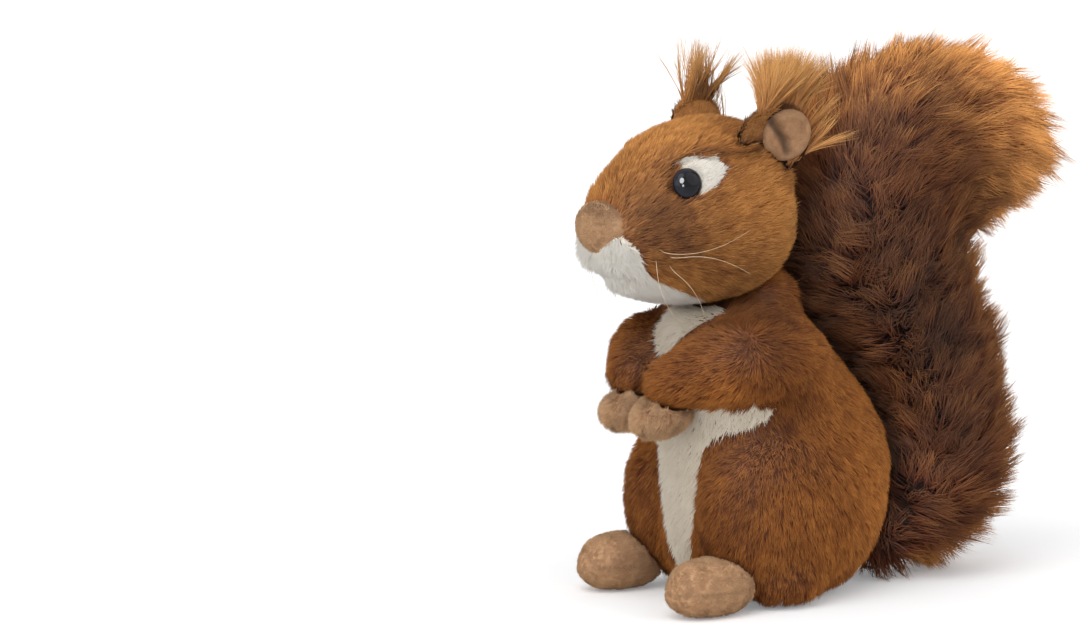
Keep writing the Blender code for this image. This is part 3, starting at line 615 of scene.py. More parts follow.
def lock_faces(steps):
    """Faces of one three-sided lock and where each corner lies in its own UV cell."""
    faces, corners = [], []
    for k in range(steps):
        for j in range(3):
            low, low_next = 3 * k + j, 3 * k + (j + 1) % 3
            left, right = j / 3, (j + 1) / 3
            bottom, top = 0.12 + 0.88 * k / steps, 0.12 + 0.88 * (k + 1) / steps
            if k == steps - 1:
                faces.append((low, low_next, 3 * steps))
                corners.append(((left, bottom), (right, bottom), ((left + right) / 2, top)))
                continue
            high, high_next = low + 3, low_next + 3
            faces += [(low, low_next, high_next), (low, high_next, high)]
            corners += [((left, bottom), (right, bottom), (right, top)),
                        ((left, bottom), (right, top), (left, top))]
    faces.append((0, 2, 1))
    corners.append(((0.0, 0.0), (1.0, 0.0), (0.5, 0.09)))
    return np.array(faces), np.array(corners)


def locks(name, paths, widths, softer, tones, tip_dye_and_painted_light_shares, blend=0.6):
    """A mesh of locks. paths is (count, steps + 1, 3), widths the width at each step."""
    count, rows, _ = paths.shape
    steps = rows - 1
    heading = unit(paths[:, -1] - paths[:, 0])
    across = unit(np.cross(heading, softer))
    other = np.cross(heading, across)
    rings = []
    for j in range(3):
        turn = 2 * math.pi * j / 3
        spoke = across * math.cos(turn) + other * math.sin(turn)
        rings.append(paths[:, :steps] + spoke[:, None] * widths[:, :steps, None] / 2)
    rings = np.stack(rings, axis=2)
    points = np.concatenate([rings.reshape(count, -1, 3), paths[:, -1:]], axis=1)
    spokes = rings - paths[:, :steps, None]
    lean = unit(spokes.reshape(-1, 3)).reshape(count, -1, 3)
    lean = np.concatenate([lean, heading[:, None]], axis=1)
    normals = unit((softer[:, None] * blend + lean * (1 - blend)).reshape(-1, 3))
    faces, corners = lock_faces(steps)
    each = 3 * steps + 1
    loops = (faces[None] + np.arange(count)[:, None, None] * each).reshape(-1)
    mesh = bpy.data.meshes.new(name)
    piece = placed(name, mesh)
    mesh.vertices.add(count * each)
    mesh.vertices.foreach_set("co", points.reshape(-1).astype(np.float32))
    mesh.loops.add(len(loops))
    mesh.loops.foreach_set("vertex_index", loops.astype(np.int32))
    mesh.polygons.add(len(loops) // 3)
    mesh.polygons.foreach_set("loop_start", np.arange(0, len(loops), 3, dtype=np.int32))
    mesh.update(calc_edges=True)
    tips = np.append(np.repeat(np.arange(steps) / steps, 3), 1.0)
    marked(piece, "tip", np.tile(tips, count))
    marked(piece, "tone", np.repeat(tones, each))
    marked(piece, "fade", np.repeat(tip_dye_and_painted_light_shares, each))
    side = math.ceil(math.sqrt(count))
    cell = np.stack([np.arange(count) % side, np.arange(count) // side], axis=1)
    spots = (cell[:, None, None] + 0.06 + corners[None] * 0.88) / side
    layer = mesh.uv_layers.new(name="OFBake")
    layer.data.foreach_set("uv", spots.reshape(-1).astype(np.float32))
    mesh.shade_smooth()
    mesh.normals_split_custom_set_from_vertices(normals.tolist())
    return piece


def combed(roots, normals, comb, lift, spread, rng):
    """Each fibre's heading: along the comb, standing up by lift degrees, with some disorder."""
    flat = comb(roots)
    flat = unit(flat - normals * (flat * normals).sum(axis=1, keepdims=True))
    side = np.cross(normals, flat)
    turn = rng.normal(0, spread, len(roots))[:, None]
    flat = flat * np.cos(turn) + side * np.sin(turn)
    rise = np.radians(lift * (1 + rng.normal(0, 0.18, len(roots))))[:, None]
    return unit(flat * np.cos(rise) + normals * np.sin(rise))


def bell(gap, width):
    """1 where the gap is none, and falling off evenly to both sides over the width."""
    return np.exp(-((gap / width) ** 2))


def folded(places):
    """The same places, with those on the right side mirrored to the left."""
    return np.stack([np.abs(places[:, 0]), places[:, 1], places[:, 2]], axis=1)


def nearest_stretch(places, line):
    """Each place's distance to a polyline and the direction of the stretch nearest to it."""
    least, flow = np.full(len(places), np.inf), np.zeros_like(places)
    for start, end in zip(line[:-1], line[1:]):
        run = end - start
        share = np.clip(((places - start) @ run) / (run @ run), 0, 1)[:, None]
        gap = np.linalg.norm(places - start - run * share, axis=1)
        nearer = gap < least
        least[nearer] = gap[nearer]
        flow[nearer] = run / np.linalg.norm(run)
    return least, flow


def gap_to_line(places, line):
    """Each place's distance to a polyline that is mirrored to both sides."""
    return nearest_stretch(folded(places), line)[0]


def painted_light_near(places, spots):
    """How much darker or paler the pile is near some spots, mirrored to both sides; most spots are
    painted light and shade.
    """
    total = np.zeros(len(places))
    for x, y, z, reach, amount in spots:
        gap = np.linalg.norm(folded(places) - np.array((x, y, z)) * MM, axis=1)
        total += amount * bell(gap, reach * MM)
    return total


def nearest_of(centres, places):
    """The number of the centre that is nearest to each place."""
    finder = BVHTree.FromPolygons(
        np.repeat(centres, 3, axis=0).tolist(),
        np.arange(len(centres) * 3).reshape(-1, 3).tolist(), all_triangles=True, epsilon=0.0,
    )
    return np.array([finder.find_nearest(place)[2] for place in places.tolist()])


LOCKS_PER_CLUMP = 34


def short_pile(name, roots, normals, depth, lift, width, comb, rng, gather, spread=0.22,
               blend=0.6, shade=0.0):
    """Straight spikes whose tips end about depth above the cover and lean together in clumps."""
    heading = combed(roots, normals, comb, lift, spread, rng)
    stand = np.maximum((heading * normals).sum(axis=1), 0.25)
    length = depth / stand * rng.uniform(0.70, 1.14, len(roots))
    ends = roots + heading * length[:, None]
    picked = rng.choice(len(roots), max(len(roots) // LOCKS_PER_CLUMP, 1), replace=False)
    own = nearest_of(roots[picked], roots)
    tips = ends[picked] + normals[picked] * 0.4 * MM
    ends = ends * (1 - gather) + tips[own] * gather
    paths = np.stack([roots - normals * 0.3 * MM, ends], axis=1)
    widths = np.repeat((width * rng.uniform(0.8, 1.2, len(roots)))[:, None], 2, axis=1)
    lot = rng.random(len(picked))[own]
    # shade is painted light and shade: it moves the tone and how pale the tips are
    tip_dye_and_painted_light_shares = np.clip(rng.beta(1.6, 1.4, len(roots)) + shade * 0.5 + (lot - 0.5) * 0.4, 0, 1)
    tones = rng.random(len(roots)) * 0.65 + lot * 0.35 + shade
    return locks(name, paths, widths, normals, tones, tip_dye_and_painted_light_shares, blend)


def bent(start, middle, end, steps):
    """Paths that set out from start towards middle and bend to end."""
    share = np.linspace(0, 1, steps + 1)[None, :, None]
    return (start[:, None] * (1 - share) ** 2 + middle[:, None] * 2 * share * (1 - share)
            + end[:, None] * share ** 2)


print("faces of a lock of one, two and three lengths",
      [len(lock_faces(steps)[0]) for steps in (1, 2, 3)])

# %% [markdown]
# ## The body, its white front and the limbs
#
# The trunk is one bag of russet pile with a white panel let into its front. The thighs and the
# sleeves are flat bags sewn on to it, and their seams are lost in the pile. So all of them share
# one cover form, with a roll of stuffing for the neck and a wad behind each shoulder, and
# every root then belongs to whichever CAD node it is nearest to. Fibres that would end inside
# the head, a foot or the tail are left out, as they are pressed flat there on the real toy.

# %% Trunk cover
PILE = 3.2 * MM
WHITE_DEPTH = 2.6 * MM
TRUNK = ("body", "front_panel", "haunch_left", "haunch_right", "arm_left", "arm_right")
body_cover = copy_of("body_cover", *TRUNK)
STUFFING = (
    # middle and half sizes of the neck's roll and of the wads behind both shoulders, in mm
    ((0, 13, 116), (23, 17.5, 15)), ((24, 14, 91), (17, 20, 20)), ((-24, 14, 91), (17, 20, 20)),
)
bpy.ops.object.mode_set(mode="EDIT")
for middle, half in STUFFING:
    bpy.ops.mesh.primitive_uv_sphere_add(segments=32, ring_count=16, radius=1,
                                         location=[at * MM for at in middle],
                                         scale=[at * MM for at in half])
bpy.ops.object.mode_set(mode="OBJECT")
evened(body_cover, 1.7 * MM, 8)
_, y, z = (arrays_of(body_cover)[0] / MM).T
# the shoulders end at slanting lines above the elbow, below the chin, and before and behind
share = np.clip((z - 78 + 13 * np.clip((y + 8) / 12, 0, 1)) / 10, 0, 1)
share *= np.clip((122 - z) / 8, 0, 1)
share *= np.clip((y + 28) / 18, 0, 1) * np.clip((52 - y) / 20, 0, 1)
shoulders = body_cover.vertex_groups.new(name="shoulders")
for k in np.flatnonzero(share > 0).tolist():
    shoulders.add([k], share[k], "REPLACE")
applied(body_cover, "SMOOTH", factor=0.5, iterations=90, vertex_group="shoulders")
body_cover.vertex_groups.clear()
drawn_in(body_cover, PILE)
print("trunk cover", len(body_cover.data.polygons), "faces")


def trunk_owner(places, spare=0.0):
    """Each place's number in TRUNK. The white bib ends beside the neck and covers the throat."""
    found = nearest_node(places, TRUNK)
    x, y, z = (places / MM).T
    aside = np.where(x > 0, x - 1.5, -x - 8.5) - spare
    throat = (aside < z - 101.5) & (y < -8 + spare) & (z > 98 - spare)
    found[(found == 1) & (z > 95) & ~throat] = 0
    found[throat & (found >= 4)] = 1
    return found


SHEET = 0.4 * MM


def cut_from(name, cover, keep):
    """Some of a cover's faces, as a thin closed sheet on top of it."""
    sheet = placed(name, cover.data.copy())
    made = bmesh.new()
    made.from_mesh(sheet.data)
    gone = [face for face, kept in zip(made.faces, keep) if not kept]
    bmesh.ops.delete(made, geom=gone, context="FACES")
    made.to_mesh(sheet.data)
    made.free()
    return applied(sheet, "SOLIDIFY", thickness=SHEET, offset=1.0)


def middles_of(cover):
    return np.array([face.center[:] for face in cover.data.polygons])


owner = trunk_owner(middles_of(body_cover), 2.0)
trunk_covers = {
    node: cut_from(f"{node}_cover", body_cover, owner == number)
    for number, node in enumerate(TRUNK) if number
}

# %% [markdown]
# The pile has its own way on each bag. It runs down and back over the trunk, fans out over a
# thigh from its upper back edge, and follows a sleeve to the wrist. Near a shoulder the sleeve's
# way is mixed with the trunk's, because no seam parts them there.

# %% Trunk pile
def down_and_back(places):
    flow = np.tile([0.0, 0.30, -1.0], (len(places), 1))
    flow[:, 1] += np.clip((places[:, 2] - 0.085) / 0.03, 0, 1) * 1.2
    return flow


def straight_down(places):
    return np.tile([0.0, -0.25, -1.0], (len(places), 1))


def thigh_fan(places):
    flow = np.zeros_like(places)
    flow[:, 1] = (places[:, 1] - 0.030) * 0.8
    flow[:, 2] = places[:, 2] - 0.105
    return unit(flow)


def down_the_sleeve(places):
    flow = np.tile([0.0, -0.85, -0.42], (len(places), 1))
    flow[:, 0] = -np.sign(places[:, 0]) * 0.5
    share = np.clip((places[:, 1] + 0.022) / 0.022, 0, 1)[:, None]
    return flow * (1 - share) + down_and_back(places) * share


TRUNK_PILES = (
    # node, depth, lift, width, comb, slot, finish
    ("body", PILE, 34, 0.64, down_and_back, "russet_plush", russet_pile),
    ("front_panel", WHITE_DEPTH, 38, 0.58, straight_down, "white_plush", bib_pile),
    ("haunch_left", PILE, 34, 0.64, thigh_fan, "russet_plush", russet_pile),
    ("haunch_right", PILE, 34, 0.64, thigh_fan, "russet_plush", russet_pile),
    ("arm_left", PILE, 34, 0.62, down_the_sleeve, "russet_plush", russet_pile),
    ("arm_right", PILE, 34, 0.62, down_the_sleeve, "russet_plush", russet_pile),
)
TRUNK_PAINTED_LIGHT = (
    # a spot on the left side, how far it reaches and how much darker or paler it is there:
    # painted shade under the head and in the folds by the elbow and the thigh, painted light on the
    # back and the thigh's side, and an arm darker on top and paler below
    (22, 4, 114, 15, -0.8), (40, 8, 80, 10, -0.6), (34, -12, 78, 10, -0.4), (30, -26, 38, 14, -0.5),
    (30, 60, 42, 24, 0.5), (20, 62, 78, 18, 0.6), (38, -8, 105, 13, -0.45), (44, 2, 94, 11, -0.35),
    (36, -22, 85, 9, 0.6), (24, 52, 96, 14, 0.45), (42, 10, 40, 16, 0.2),
)
PRESSED_BY = ("head", "muzzle", "tail", "foot_left", "foot_right", "paw_left", "paw_right")
TRUNK_ROOTS, RUSSET_SHARE = 160000, 0.84
rng = np.random.default_rng(11)
roots, normals = scattered(body_cover, TRUNK_ROOTS, rng)
on_top = roots + normals * PILE
owner = trunk_owner(on_top)
clear = ~inside_any(on_top + normals * 0.5 * MM, PRESSED_BY, 1.8 * MM) & (on_top[:, 2] > 1.0 * MM)
clear &= (owner == 1) | (rng.random(len(roots)) < RUSSET_SHARE)
for number, (node, depth, lift, width, comb, slot, finish) in enumerate(TRUNK_PILES):
    white = node == "front_panel"
    cover = body_cover if node == "body" else trunk_covers[node]
    settled(cover, white_ground if white else russet_ground, [node])
    halves = {"_pile": owner == number}
    if node == "body":
        halves = {"_pile_left": roots[:, 0] > 0, "_pile_right": roots[:, 0] <= 0}
    for ending, half in halves.items():
        mine = (owner == number) & clear & half
        pile = short_pile(node + ending, roots[mine], normals[mine], depth, lift, width * MM, comb,
                          rng, 0.15 if white else 0.32, 0.26,
                          shade=painted_light_near(roots[mine], TRUNK_PAINTED_LIGHT))
        settled(pile, finish)
        print(node, "locks", int(mine.sum()))

# %% [markdown]
# ## The head
#
# The head is the piece that everyone looks at. Its cover joins the russet head with the white
# muzzle and the eye patches, and runs on under the nose so that the pile meets its edge. The
# pile flows from the nose back over the crown. The brow seam is a parted line from the eye patch
# to the ear, and the mouth is a short notch under the lip. Along both the roots sit deeper and
# the fibres are shorter.

# %% Head cover
HEAD_PILE = 3.0 * MM
FACE_NODES = ("head", "muzzle", "eye_patch_left", "eye_patch_right", "nose",
              "eye_left", "eye_right")
head_cover = evened(copy_of("head_cover", *FACE_NODES[:5]), 1.5 * MM, 5)
drawn_in(head_cover, HEAD_PILE, 2)


BROW_SEAM = np.array([(18.6, -38, 170.2), (19.3, -33.5, 172.9), (19.8, -28.6, 175.6),
                      (21, -24.8, 176.3), (23.4, -19.4, 175.3), (25.2, -12.5, 174.6),
                      (25.3, -7.3, 175), (24.7, -1, 175.3)]) * MM
MOUTH_LINE = np.array([(0, -58, 127.5), (6, -55.5, 127), (9.5, -52, 126.3)]) * MM


def pressed(places, normals, line, width, depth, pile=0.0):
    """Places under a line that runs on the tips of the pile, moved in to make a groove."""
    near = bell(gap_to_line(places + normals * pile, line), width)
    return places - normals * (near * depth)[:, None]


points, _, normals = arrays_of(head_cover)
for line, width, depth in (
    # beside each groove the cloth is pushed out, which a negative depth does
    (BROW_SEAM + np.array([-2, 1, 6]) * MM, 4.5, -1.1), (BROW_SEAM, 1.8, 2.2),
    (MOUTH_LINE + np.array([0, -3, 7]) * MM, 4.5, -1.3), (MOUTH_LINE, 3.2, 2.4),
):
    points = pressed(points, normals, line, width * MM, depth * MM, HEAD_PILE)
reshaped(head_cover, points)
EYE_PATCH = np.array([(-32.5, 172.0), (-29.6, 173.9), (-25.8, 174.8), (-15.4, 174.4),
                      (-15.2, 170.0), (-19, 165.6), (-23, 163), (-28.5, 160.5),
                      (-31, 163.5)]) * MM


def face_owner(places):
    """Each place's number in FACE_NODES. A patch is a piece of felt, so its outline is crisp."""
    found = nearest_node(places, FACE_NODES[:4])
    inside = np.abs(places[:, 0]) > 12 * MM
    for start, end in zip(EYE_PATCH, np.roll(EYE_PATCH, -1, axis=0)):
        run, off = end - start, places[:, 1:] - start
        inside &= run[0] * off[:, 1] - run[1] * off[:, 0] < 0
    found[found >= 2] = 0
    found[gap_to_line(places, MOUTH_LINE) < 6 * MM] = 1
    found[inside] = np.where(places[inside, 0] > 0, 2, 3)
    return found


label = face_owner(middles_of(head_cover))
muzzle_cover, *patch_covers = (
    cut_from(f"{node}_cover", head_cover, label == number)
    for number, node in enumerate(FACE_NODES[:4]) if number
)
print("head cover", len(head_cover.data.polygons), "faces")

# %% Head pile
def swept_back(places):
    flow = np.tile([0.0, 1.0, 0.28], (len(places), 1))
    low = np.clip((0.138 - places[:, 2]) / 0.02, 0, 1)
    flow[:, 2] -= low * 0.5
    flow[:, 0] += np.sign(places[:, 0]) * 0.12
    return flow


def muzzle_flow(places):
    return np.tile([0.0, 0.75, -0.65], (len(places), 1))


HEAD_PAINTED_LIGHT = (
    # a darker, tousled red cheek; painted shade in the hollow before the eye, at the seam's end and
    # under the back of the head; painted light on the crown, the top of the snout and the side of
    # the head
    (22, -47, 151, 12, -0.70), (27, -38, 140, 12, -0.55), (17, -50, 158, 7, -0.35),
    (17, -41, 168, 5, -0.7),
    (26, -5, 175, 6, -0.5), (29, -10, 124, 12, -0.5),
    (8, -28, 190, 16, 0.5), (12, -44, 172, 10, 0.35), (30, -2, 150, 14, 0.25),
)
HEAD_ROOTS, FACE_SHARE = 100000, 0.78
rng = np.random.default_rng(12)
roots, normals = scattered(head_cover, HEAD_ROOTS, rng)
on_top = roots + normals * HEAD_PILE
halfway = roots + combed(roots, normals, swept_back, 31, 0.0, rng) * HEAD_PILE
label = face_owner(halfway)
clear = ~inside_any(on_top, ("body", "front_panel", "ear_left", "ear_right"), 3.2 * MM)
on_nose = np.flatnonzero(nearest_node(on_top, FACE_NODES[:5]) == 4)
clear[on_nose] &= least_gap(on_top[on_nose], ("head", "muzzle")) < 0.7 * MM
seam_gap, mouth_gap = gap_to_line(on_top, BROW_SEAM), gap_to_line(on_top, MOUTH_LINE)
seam = bell(seam_gap, 1.5 * MM)
parted = np.maximum(seam, bell(mouth_gap, 1.3 * MM) * 0.2)
clear &= rng.random(len(roots)) > parted * 0.6
shorter = 1 - 0.45 * bell(np.minimum(seam_gap, mouth_gap), 2.2 * MM)
by_ear = bell(least_gap(on_top, ("ear_left", "ear_right")), 3.5 * MM)
shorter *= 1 + 0.55 * by_ear * (1 - seam)
clear &= (label > 0) | (rng.random(len(roots)) < FACE_SHARE)


def face_pile(name, number, depth, lift, width, comb, half=True):
    mine = (label == number) & clear & half
    heading = combed(roots[mine], normals[mine], comb, lift, 0.1, rng)
    ends = roots[mine] + heading * depth * 1.5
    free = ~inside_any(ends, ("eye_left", "eye_right"))
    chosen = np.flatnonzero(mine)[free]
    # along the brow seam the pile is darkened as well, painted shade in the parted line
    return short_pile(name, roots[chosen], normals[chosen], depth * shorter[chosen], lift, width,
                      comb, rng, 0.26 if number == 0 else 0.15,
                      shade=painted_light_near(roots[chosen], HEAD_PAINTED_LIGHT) - seam[chosen] * 1.1)


head_piles = [
    face_pile(f"head_pile_{side}", 0, HEAD_PILE, 31, 0.60 * MM, swept_back, half)
    for side, half in (("left", roots[:, 0] > 0), ("right", roots[:, 0] <= 0))
]
muzzle_pile = face_pile("muzzle_pile", 1, 3.0 * MM, 36, 0.58 * MM, muzzle_flow)
patch_piles = [
    face_pile(f"eye_patch_{side}_pile", number, 1.5 * MM, 30, 0.50 * MM, swept_back)
    for side, number in (("left", 2), ("right", 3))
]
settled(head_cover, russet_ground, ["head"])
settled(muzzle_cover, white_ground, ["muzzle"])
settled(muzzle_pile, muzzle_pile_dye)
for pile in head_piles:
    settled(pile, face_pile_dye)
    print(pile.name, "locks", len(pile.data.vertices) // 4)
for side, cover, pile in zip(("left", "right"), patch_covers, patch_piles):
    settled(cover, white_ground, [f"eye_patch_{side}"])
    settled(pile, muzzle_pile_dye)

# %% [markdown]
# ## The tail
#
# The tail is the showpiece: a stuffed core wrapped in pile more than two centimetres long. The
# fibres gather in locks, lean towards the tail's end and stand out all round, so the outline is
# ragged and the tips catch the light. Each lock belongs to a clump: its tip is drawn towards
# the clump's tip, which is what makes strands of pile hang together.

# %% Tail core and its line
tail_line = np.array([(0, 62, 24), (0, 87, 28), (0, 99, 49), (0, 95, 77), (0, 88, 100),
                      (0, 76, 122), (0, 69, 150), (0, 76, 168), (0, 97, 178), (0, 116, 177),
                      (0, 128, 173)]) * MM
TAIL_DEPTH = 13.0 * MM
tail_core = evened(copy_of("tail_cover", "tail"), 3.0 * MM, 14)
drawn_in(tail_core, TAIL_DEPTH, 10)
applied(tail_core, "REMESH", mode="VOXEL", voxel_size=2.5 * MM, use_smooth_shade=True)
largest_part(tail_core)
print("tail core", len(tail_core.data.polygons), "faces")


def along_tail(places):
    """The direction of the tail's own line at the nearest of its stretches."""
    return nearest_stretch(places, tail_line)[1]


# %% Long pile in clumps
TAIL_LOCKS, TAIL_GATHER, TAIL_SPREAD, TAIL_DROOP = 17500, 0.64, 0.55, 0.12
PRESS = ("head", "body", "ear_left", "ear_right", "haunch_left", "haunch_right")


def long_pile(name, clumps, length, lift, width, rng):
    """Bending locks that gather in clumps and keep out of the pieces that press on them."""
    roots, normals = scattered(tail_core, TAIL_LOCKS, rng)
    centres, centre_normals = scattered(tail_core, clumps, rng)
    heading = combed(centres, centre_normals, along_tail, lift, TAIL_SPREAD, rng)
    nape = bell(centres[:, 2] / MM - 118, 22) * np.clip(-centre_normals[:, 1], 0, 1)
    reach = length * rng.uniform(0.72, 1.18, clumps) * (1 + 0.5 * nape)
    clump_tips = centres + heading * reach[:, None]
    own = nearest_of(centres, roots)
    lone = combed(roots, normals, along_tail, lift, TAIL_SPREAD * 0.6, rng)
    ends = roots + lone * (length * rng.uniform(0.65, 1.1, TAIL_LOCKS))[:, None]
    ends = ends * (1 - TAIL_GATHER) + clump_tips[own] * TAIL_GATHER
    ends[:, 2] -= length * TAIL_DROOP * rng.uniform(0.3, 1.0, TAIL_LOCKS)
    for _ in range(3):
        caught = inside_any(ends, PRESS, 2.0 * MM)
        ends[caught] = roots[caught] + (ends[caught] - roots[caught]) * 0.7
    free = ~inside_any(ends, PRESS, 2.0 * MM)
    roots, normals, ends, own = roots[free], normals[free], ends[free], own[free]
    first = roots + normals * length * 0.26 + (ends - roots) * 0.14
    paths = bent(roots - normals * 0.5 * MM, first, ends, 2)
    widths = (width * rng.uniform(0.7, 1.25, len(roots)))[:, None] * [1.0, 0.72, 0.0]
    lot = rng.random(clumps)[own]
    tones = lot * 0.6 + rng.random(len(roots)) * 0.4
    # painted light: the pile is palest where it faces back, up or down, along the tail's back edge,
    # at its lobe and towards its top; painted shade darkens its flanks, most at mid height
    y, z = roots[:, 1] / MM, roots[:, 2] / MM
    flank = np.abs(normals[:, 0])
    pale = np.clip(1 - flank * 1.15, 0, 1) * np.clip(1 + normals[:, 1] * 1.3, 0, 1)
    pale += np.clip((y - 86) / 24, 0, 1) * np.clip((z - 145) / 20, 0, 1)
    pale += 0.35 * np.clip((z - 165) / 15, 0, 1)
    tip_dye_and_painted_light_shares = (rng.beta(1.5, 1.5, len(roots)) * 0.5 + lot * 0.5) * (0.34 + 1.4 * pale)
    tones += 0.50 * pale - 0.40 * bell(z - 105, 48) * flank
    return locks(name, paths, widths, normals, tones, np.clip(tip_dye_and_painted_light_shares, 0, 1))


TAIL_LAYERS = (
    # length and lift, width of a lock at its root, number of clumps
    (15.5, 56, 0.80, 1700), (19.0, 50, 0.70, 1200), (22.5, 46, 0.64, 850), (26.5, 42, 0.58, 520),
)
for number, (length, lift, width, clumps) in enumerate(TAIL_LAYERS, start=1):
    made = long_pile(f"tail_pile_{number}", clumps, length * MM, lift, width * MM,
                     np.random.default_rng(30 + number))
    settled(made, tail_pile)
    print("tail layer", number, "faces", len(made.data.polygons))
settled(tail_core, tail_ground, ["tail"])

# %% [markdown]
# ## Ears, linings and tufts
#
# An ear is a folded leaf of pile with a velour lining on its open side, and the fold pinches
# the lining into a deep crease between two soft swells. The tuft is the longest loose pile on
# the toy. It grows from the ear's upper and back edge and opens like a fan from front to back.

# %% Ears
def upwards(places):
    return np.tile([0.0, 0.35, 1.0], (len(places), 1))


EAR_PILE, EAR_ROOTS = 1.9 * MM, 16000
EAR_FOLD = np.array([(28, 1.8, 189), (26.7, 3.6, 186.2), (25.7, 6.9, 182.7), (25.5, 9.7, 178.9),
                     (25.6, 10.8, 175)]) * MM
for number, side in enumerate(("left", "right")):
    rng = np.random.default_rng(40 + number)
    ear, lining = f"ear_{side}", f"ear_lining_{side}"
    cover = evened(copy_of(f"{ear}_cover", ear, lining), 0.9 * MM, 5)
    drawn_in(cover, EAR_PILE, 3)
    points, _, _ = arrays_of(cover)
    lap = np.clip((points[:, 1].mean() - 3 * MM - points[:, 1]) / (8 * MM), 0, 1)
    low = np.clip((points[:, 2].mean() - points[:, 2]) / (10 * MM), 0, 1)
    points[:, 1] -= lap * 4.0 * MM
    points[:, 0] -= np.sign(points[:, 0]) * lap * (1.0 + 2.0 * low) * MM
    reshaped(cover, points)
    roots, normals = scattered(cover, EAR_ROOTS, rng)
    on_top = roots + normals * EAR_PILE
    mine = nearest_node(on_top, (ear, lining)) == 0
    mine &= least_gap(on_top, (lining,)) > 0.2 * MM
    mine &= ~inside_any(on_top, ("head",), 3.4 * MM)
    made = short_pile(f"{ear}_pile", roots[mine], normals[mine], EAR_PILE, 34, 0.55 * MM, upwards,
                      rng, 0.1, 0.3)
    settled(cover, flap_ground, [ear])
    settled(made, face_pile_dye)
    leaf = evened(copy_of(f"{lining}_leaf", lining), 0.45 * MM, 6)
    points, _, _ = arrays_of(leaf)
    middle, half = points.mean(axis=0), np.ptp(points, axis=0) / 2
    rim = 1 - np.linalg.norm(((points - middle) / half)[:, 1:], axis=1)
    fold = bell(gap_to_line(points, EAR_FOLD), 1.7 * MM)
    swell = 2.4 * MM * (1 - fold) * np.clip(rim / 0.35, 0, 1) ** 0.6
    points += (np.sign(points[:, :1]) * [1.0, 0.0, 0.0] + [0.0, -0.25, 0.0]) * swell[:, None]
    # painted shade in the fold and along the lining's rim
    creased(reshaped(leaf, points), fold * 0.9 + np.clip(0.25 - rim, 0, 1))
    settled(leaf, lining_velour, [lining])
    print(ear, "locks", int(mine.sum()))

# %% Tufts
TUFT_LENGTH, TUFT_WIDTH = 27 * MM, 0.40 * MM
TUFTS = (
    # side, number of hairs and of wisps, how far the hairs are drawn to their wisp, outward sign
    ("left", 6500, 110, 0.45, 1), ("right", 1000, 30, 0.72, -1),
)
for number, (side, count, wisps, share, outward) in enumerate(TUFTS):
    rng = np.random.default_rng(50 + number)
    node = f"ear_tuft_{side}"
    roots, normals = scattered(bpy.data.objects[f"ear_{side}_cover"], count * 5, rng)
    low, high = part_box(f"ear_{side}")
    back = (roots[:, 1] - (low.y + high.y) / 2) / ((high.y - low.y) / 2)
    rise = (roots[:, 2] - (low.z + high.z) / 2) / ((high.z - low.z) / 2)
    edge = (np.hypot(back, rise) > 0.6) & ((rise > 0.35) | ((back > 0.4) & (rise > -0.5)))
    edge &= (back > -0.62) & ((normals[:, 0] * outward > -0.5) | (rise > 0.65))
    edge &= nearest_node(roots + normals * 2 * MM, (f"ear_{side}", f"ear_lining_{side}")) == 0
    chosen = np.flatnonzero(edge)[:count]
    roots, normals, back, rise = roots[chosen], normals[chosen], back[chosen], rise[chosen]
    aim = np.stack([0 * back + 0.05 * outward, 0.42 + 0.50 * back, 0.66 + 0.5 * rise], axis=1)
    astray = rng.normal(0, 1, (len(roots), 3)) * (0.30, 0.22, 0.12)
    lone = unit(unit(aim) + normals * 0.22 + astray)
    reach = TUFT_LENGTH * (0.75 + 0.25 * np.clip(rise, 0, 1))
    reach *= rng.uniform(0.35, 1.0, len(roots)) ** 0.6
    ends = roots + lone * reach[:, None]
    picked = rng.choice(len(roots), wisps, replace=False)
    own = nearest_of(roots[picked], roots)
    leaders = unit(lone[picked] + rng.normal(0, 1, (wisps, 3)) * (0.26, 0.34, 0.1))
    tips = roots[picked] + leaders * TUFT_LENGTH * rng.uniform(0.75, 1.35, wisps)[:, None]
    ends = ends * (1 - share) + tips[own] * share
    middle = roots + unit(aim + normals * 0.5) * (reach * 0.42)[:, None]
    paths = bent(roots, middle, ends, 3)
    widths = (TUFT_WIDTH * rng.uniform(0.5, 1.2, len(roots)))[:, None] * [1.0, 0.85, 0.55, 0.0]
    lit = unit(lone * 0.4 + [outward * 0.3, -0.7, 0.5])
    tones, tip_dye_and_painted_light_shares = rng.random(len(roots)), rng.uniform(0.3, 1.0, len(roots))
    tuft = locks(node + "_pile", paths, widths, lit, tones, tip_dye_and_painted_light_shares, 0.55)
    settled(tuft, tuft_pile, [node])
    print(node, "locks", len(roots))

# %% [markdown]
# ## Velour feet, paws and nose
#
# These are small stuffed bags of velour. The cloth pulls in at its seams and bulges between
# them, which is what a short Cloth run with inside pressure gives: the seam's points are
# pinned and the rest swells by no more than a millimetre. A nap of very short fibres then
# softens the outline, as brushed cloth does against the light.

# %% Swelling a small bag
CLOTH_STEPS, STUFFING_PRESSURE = 14, 4.0


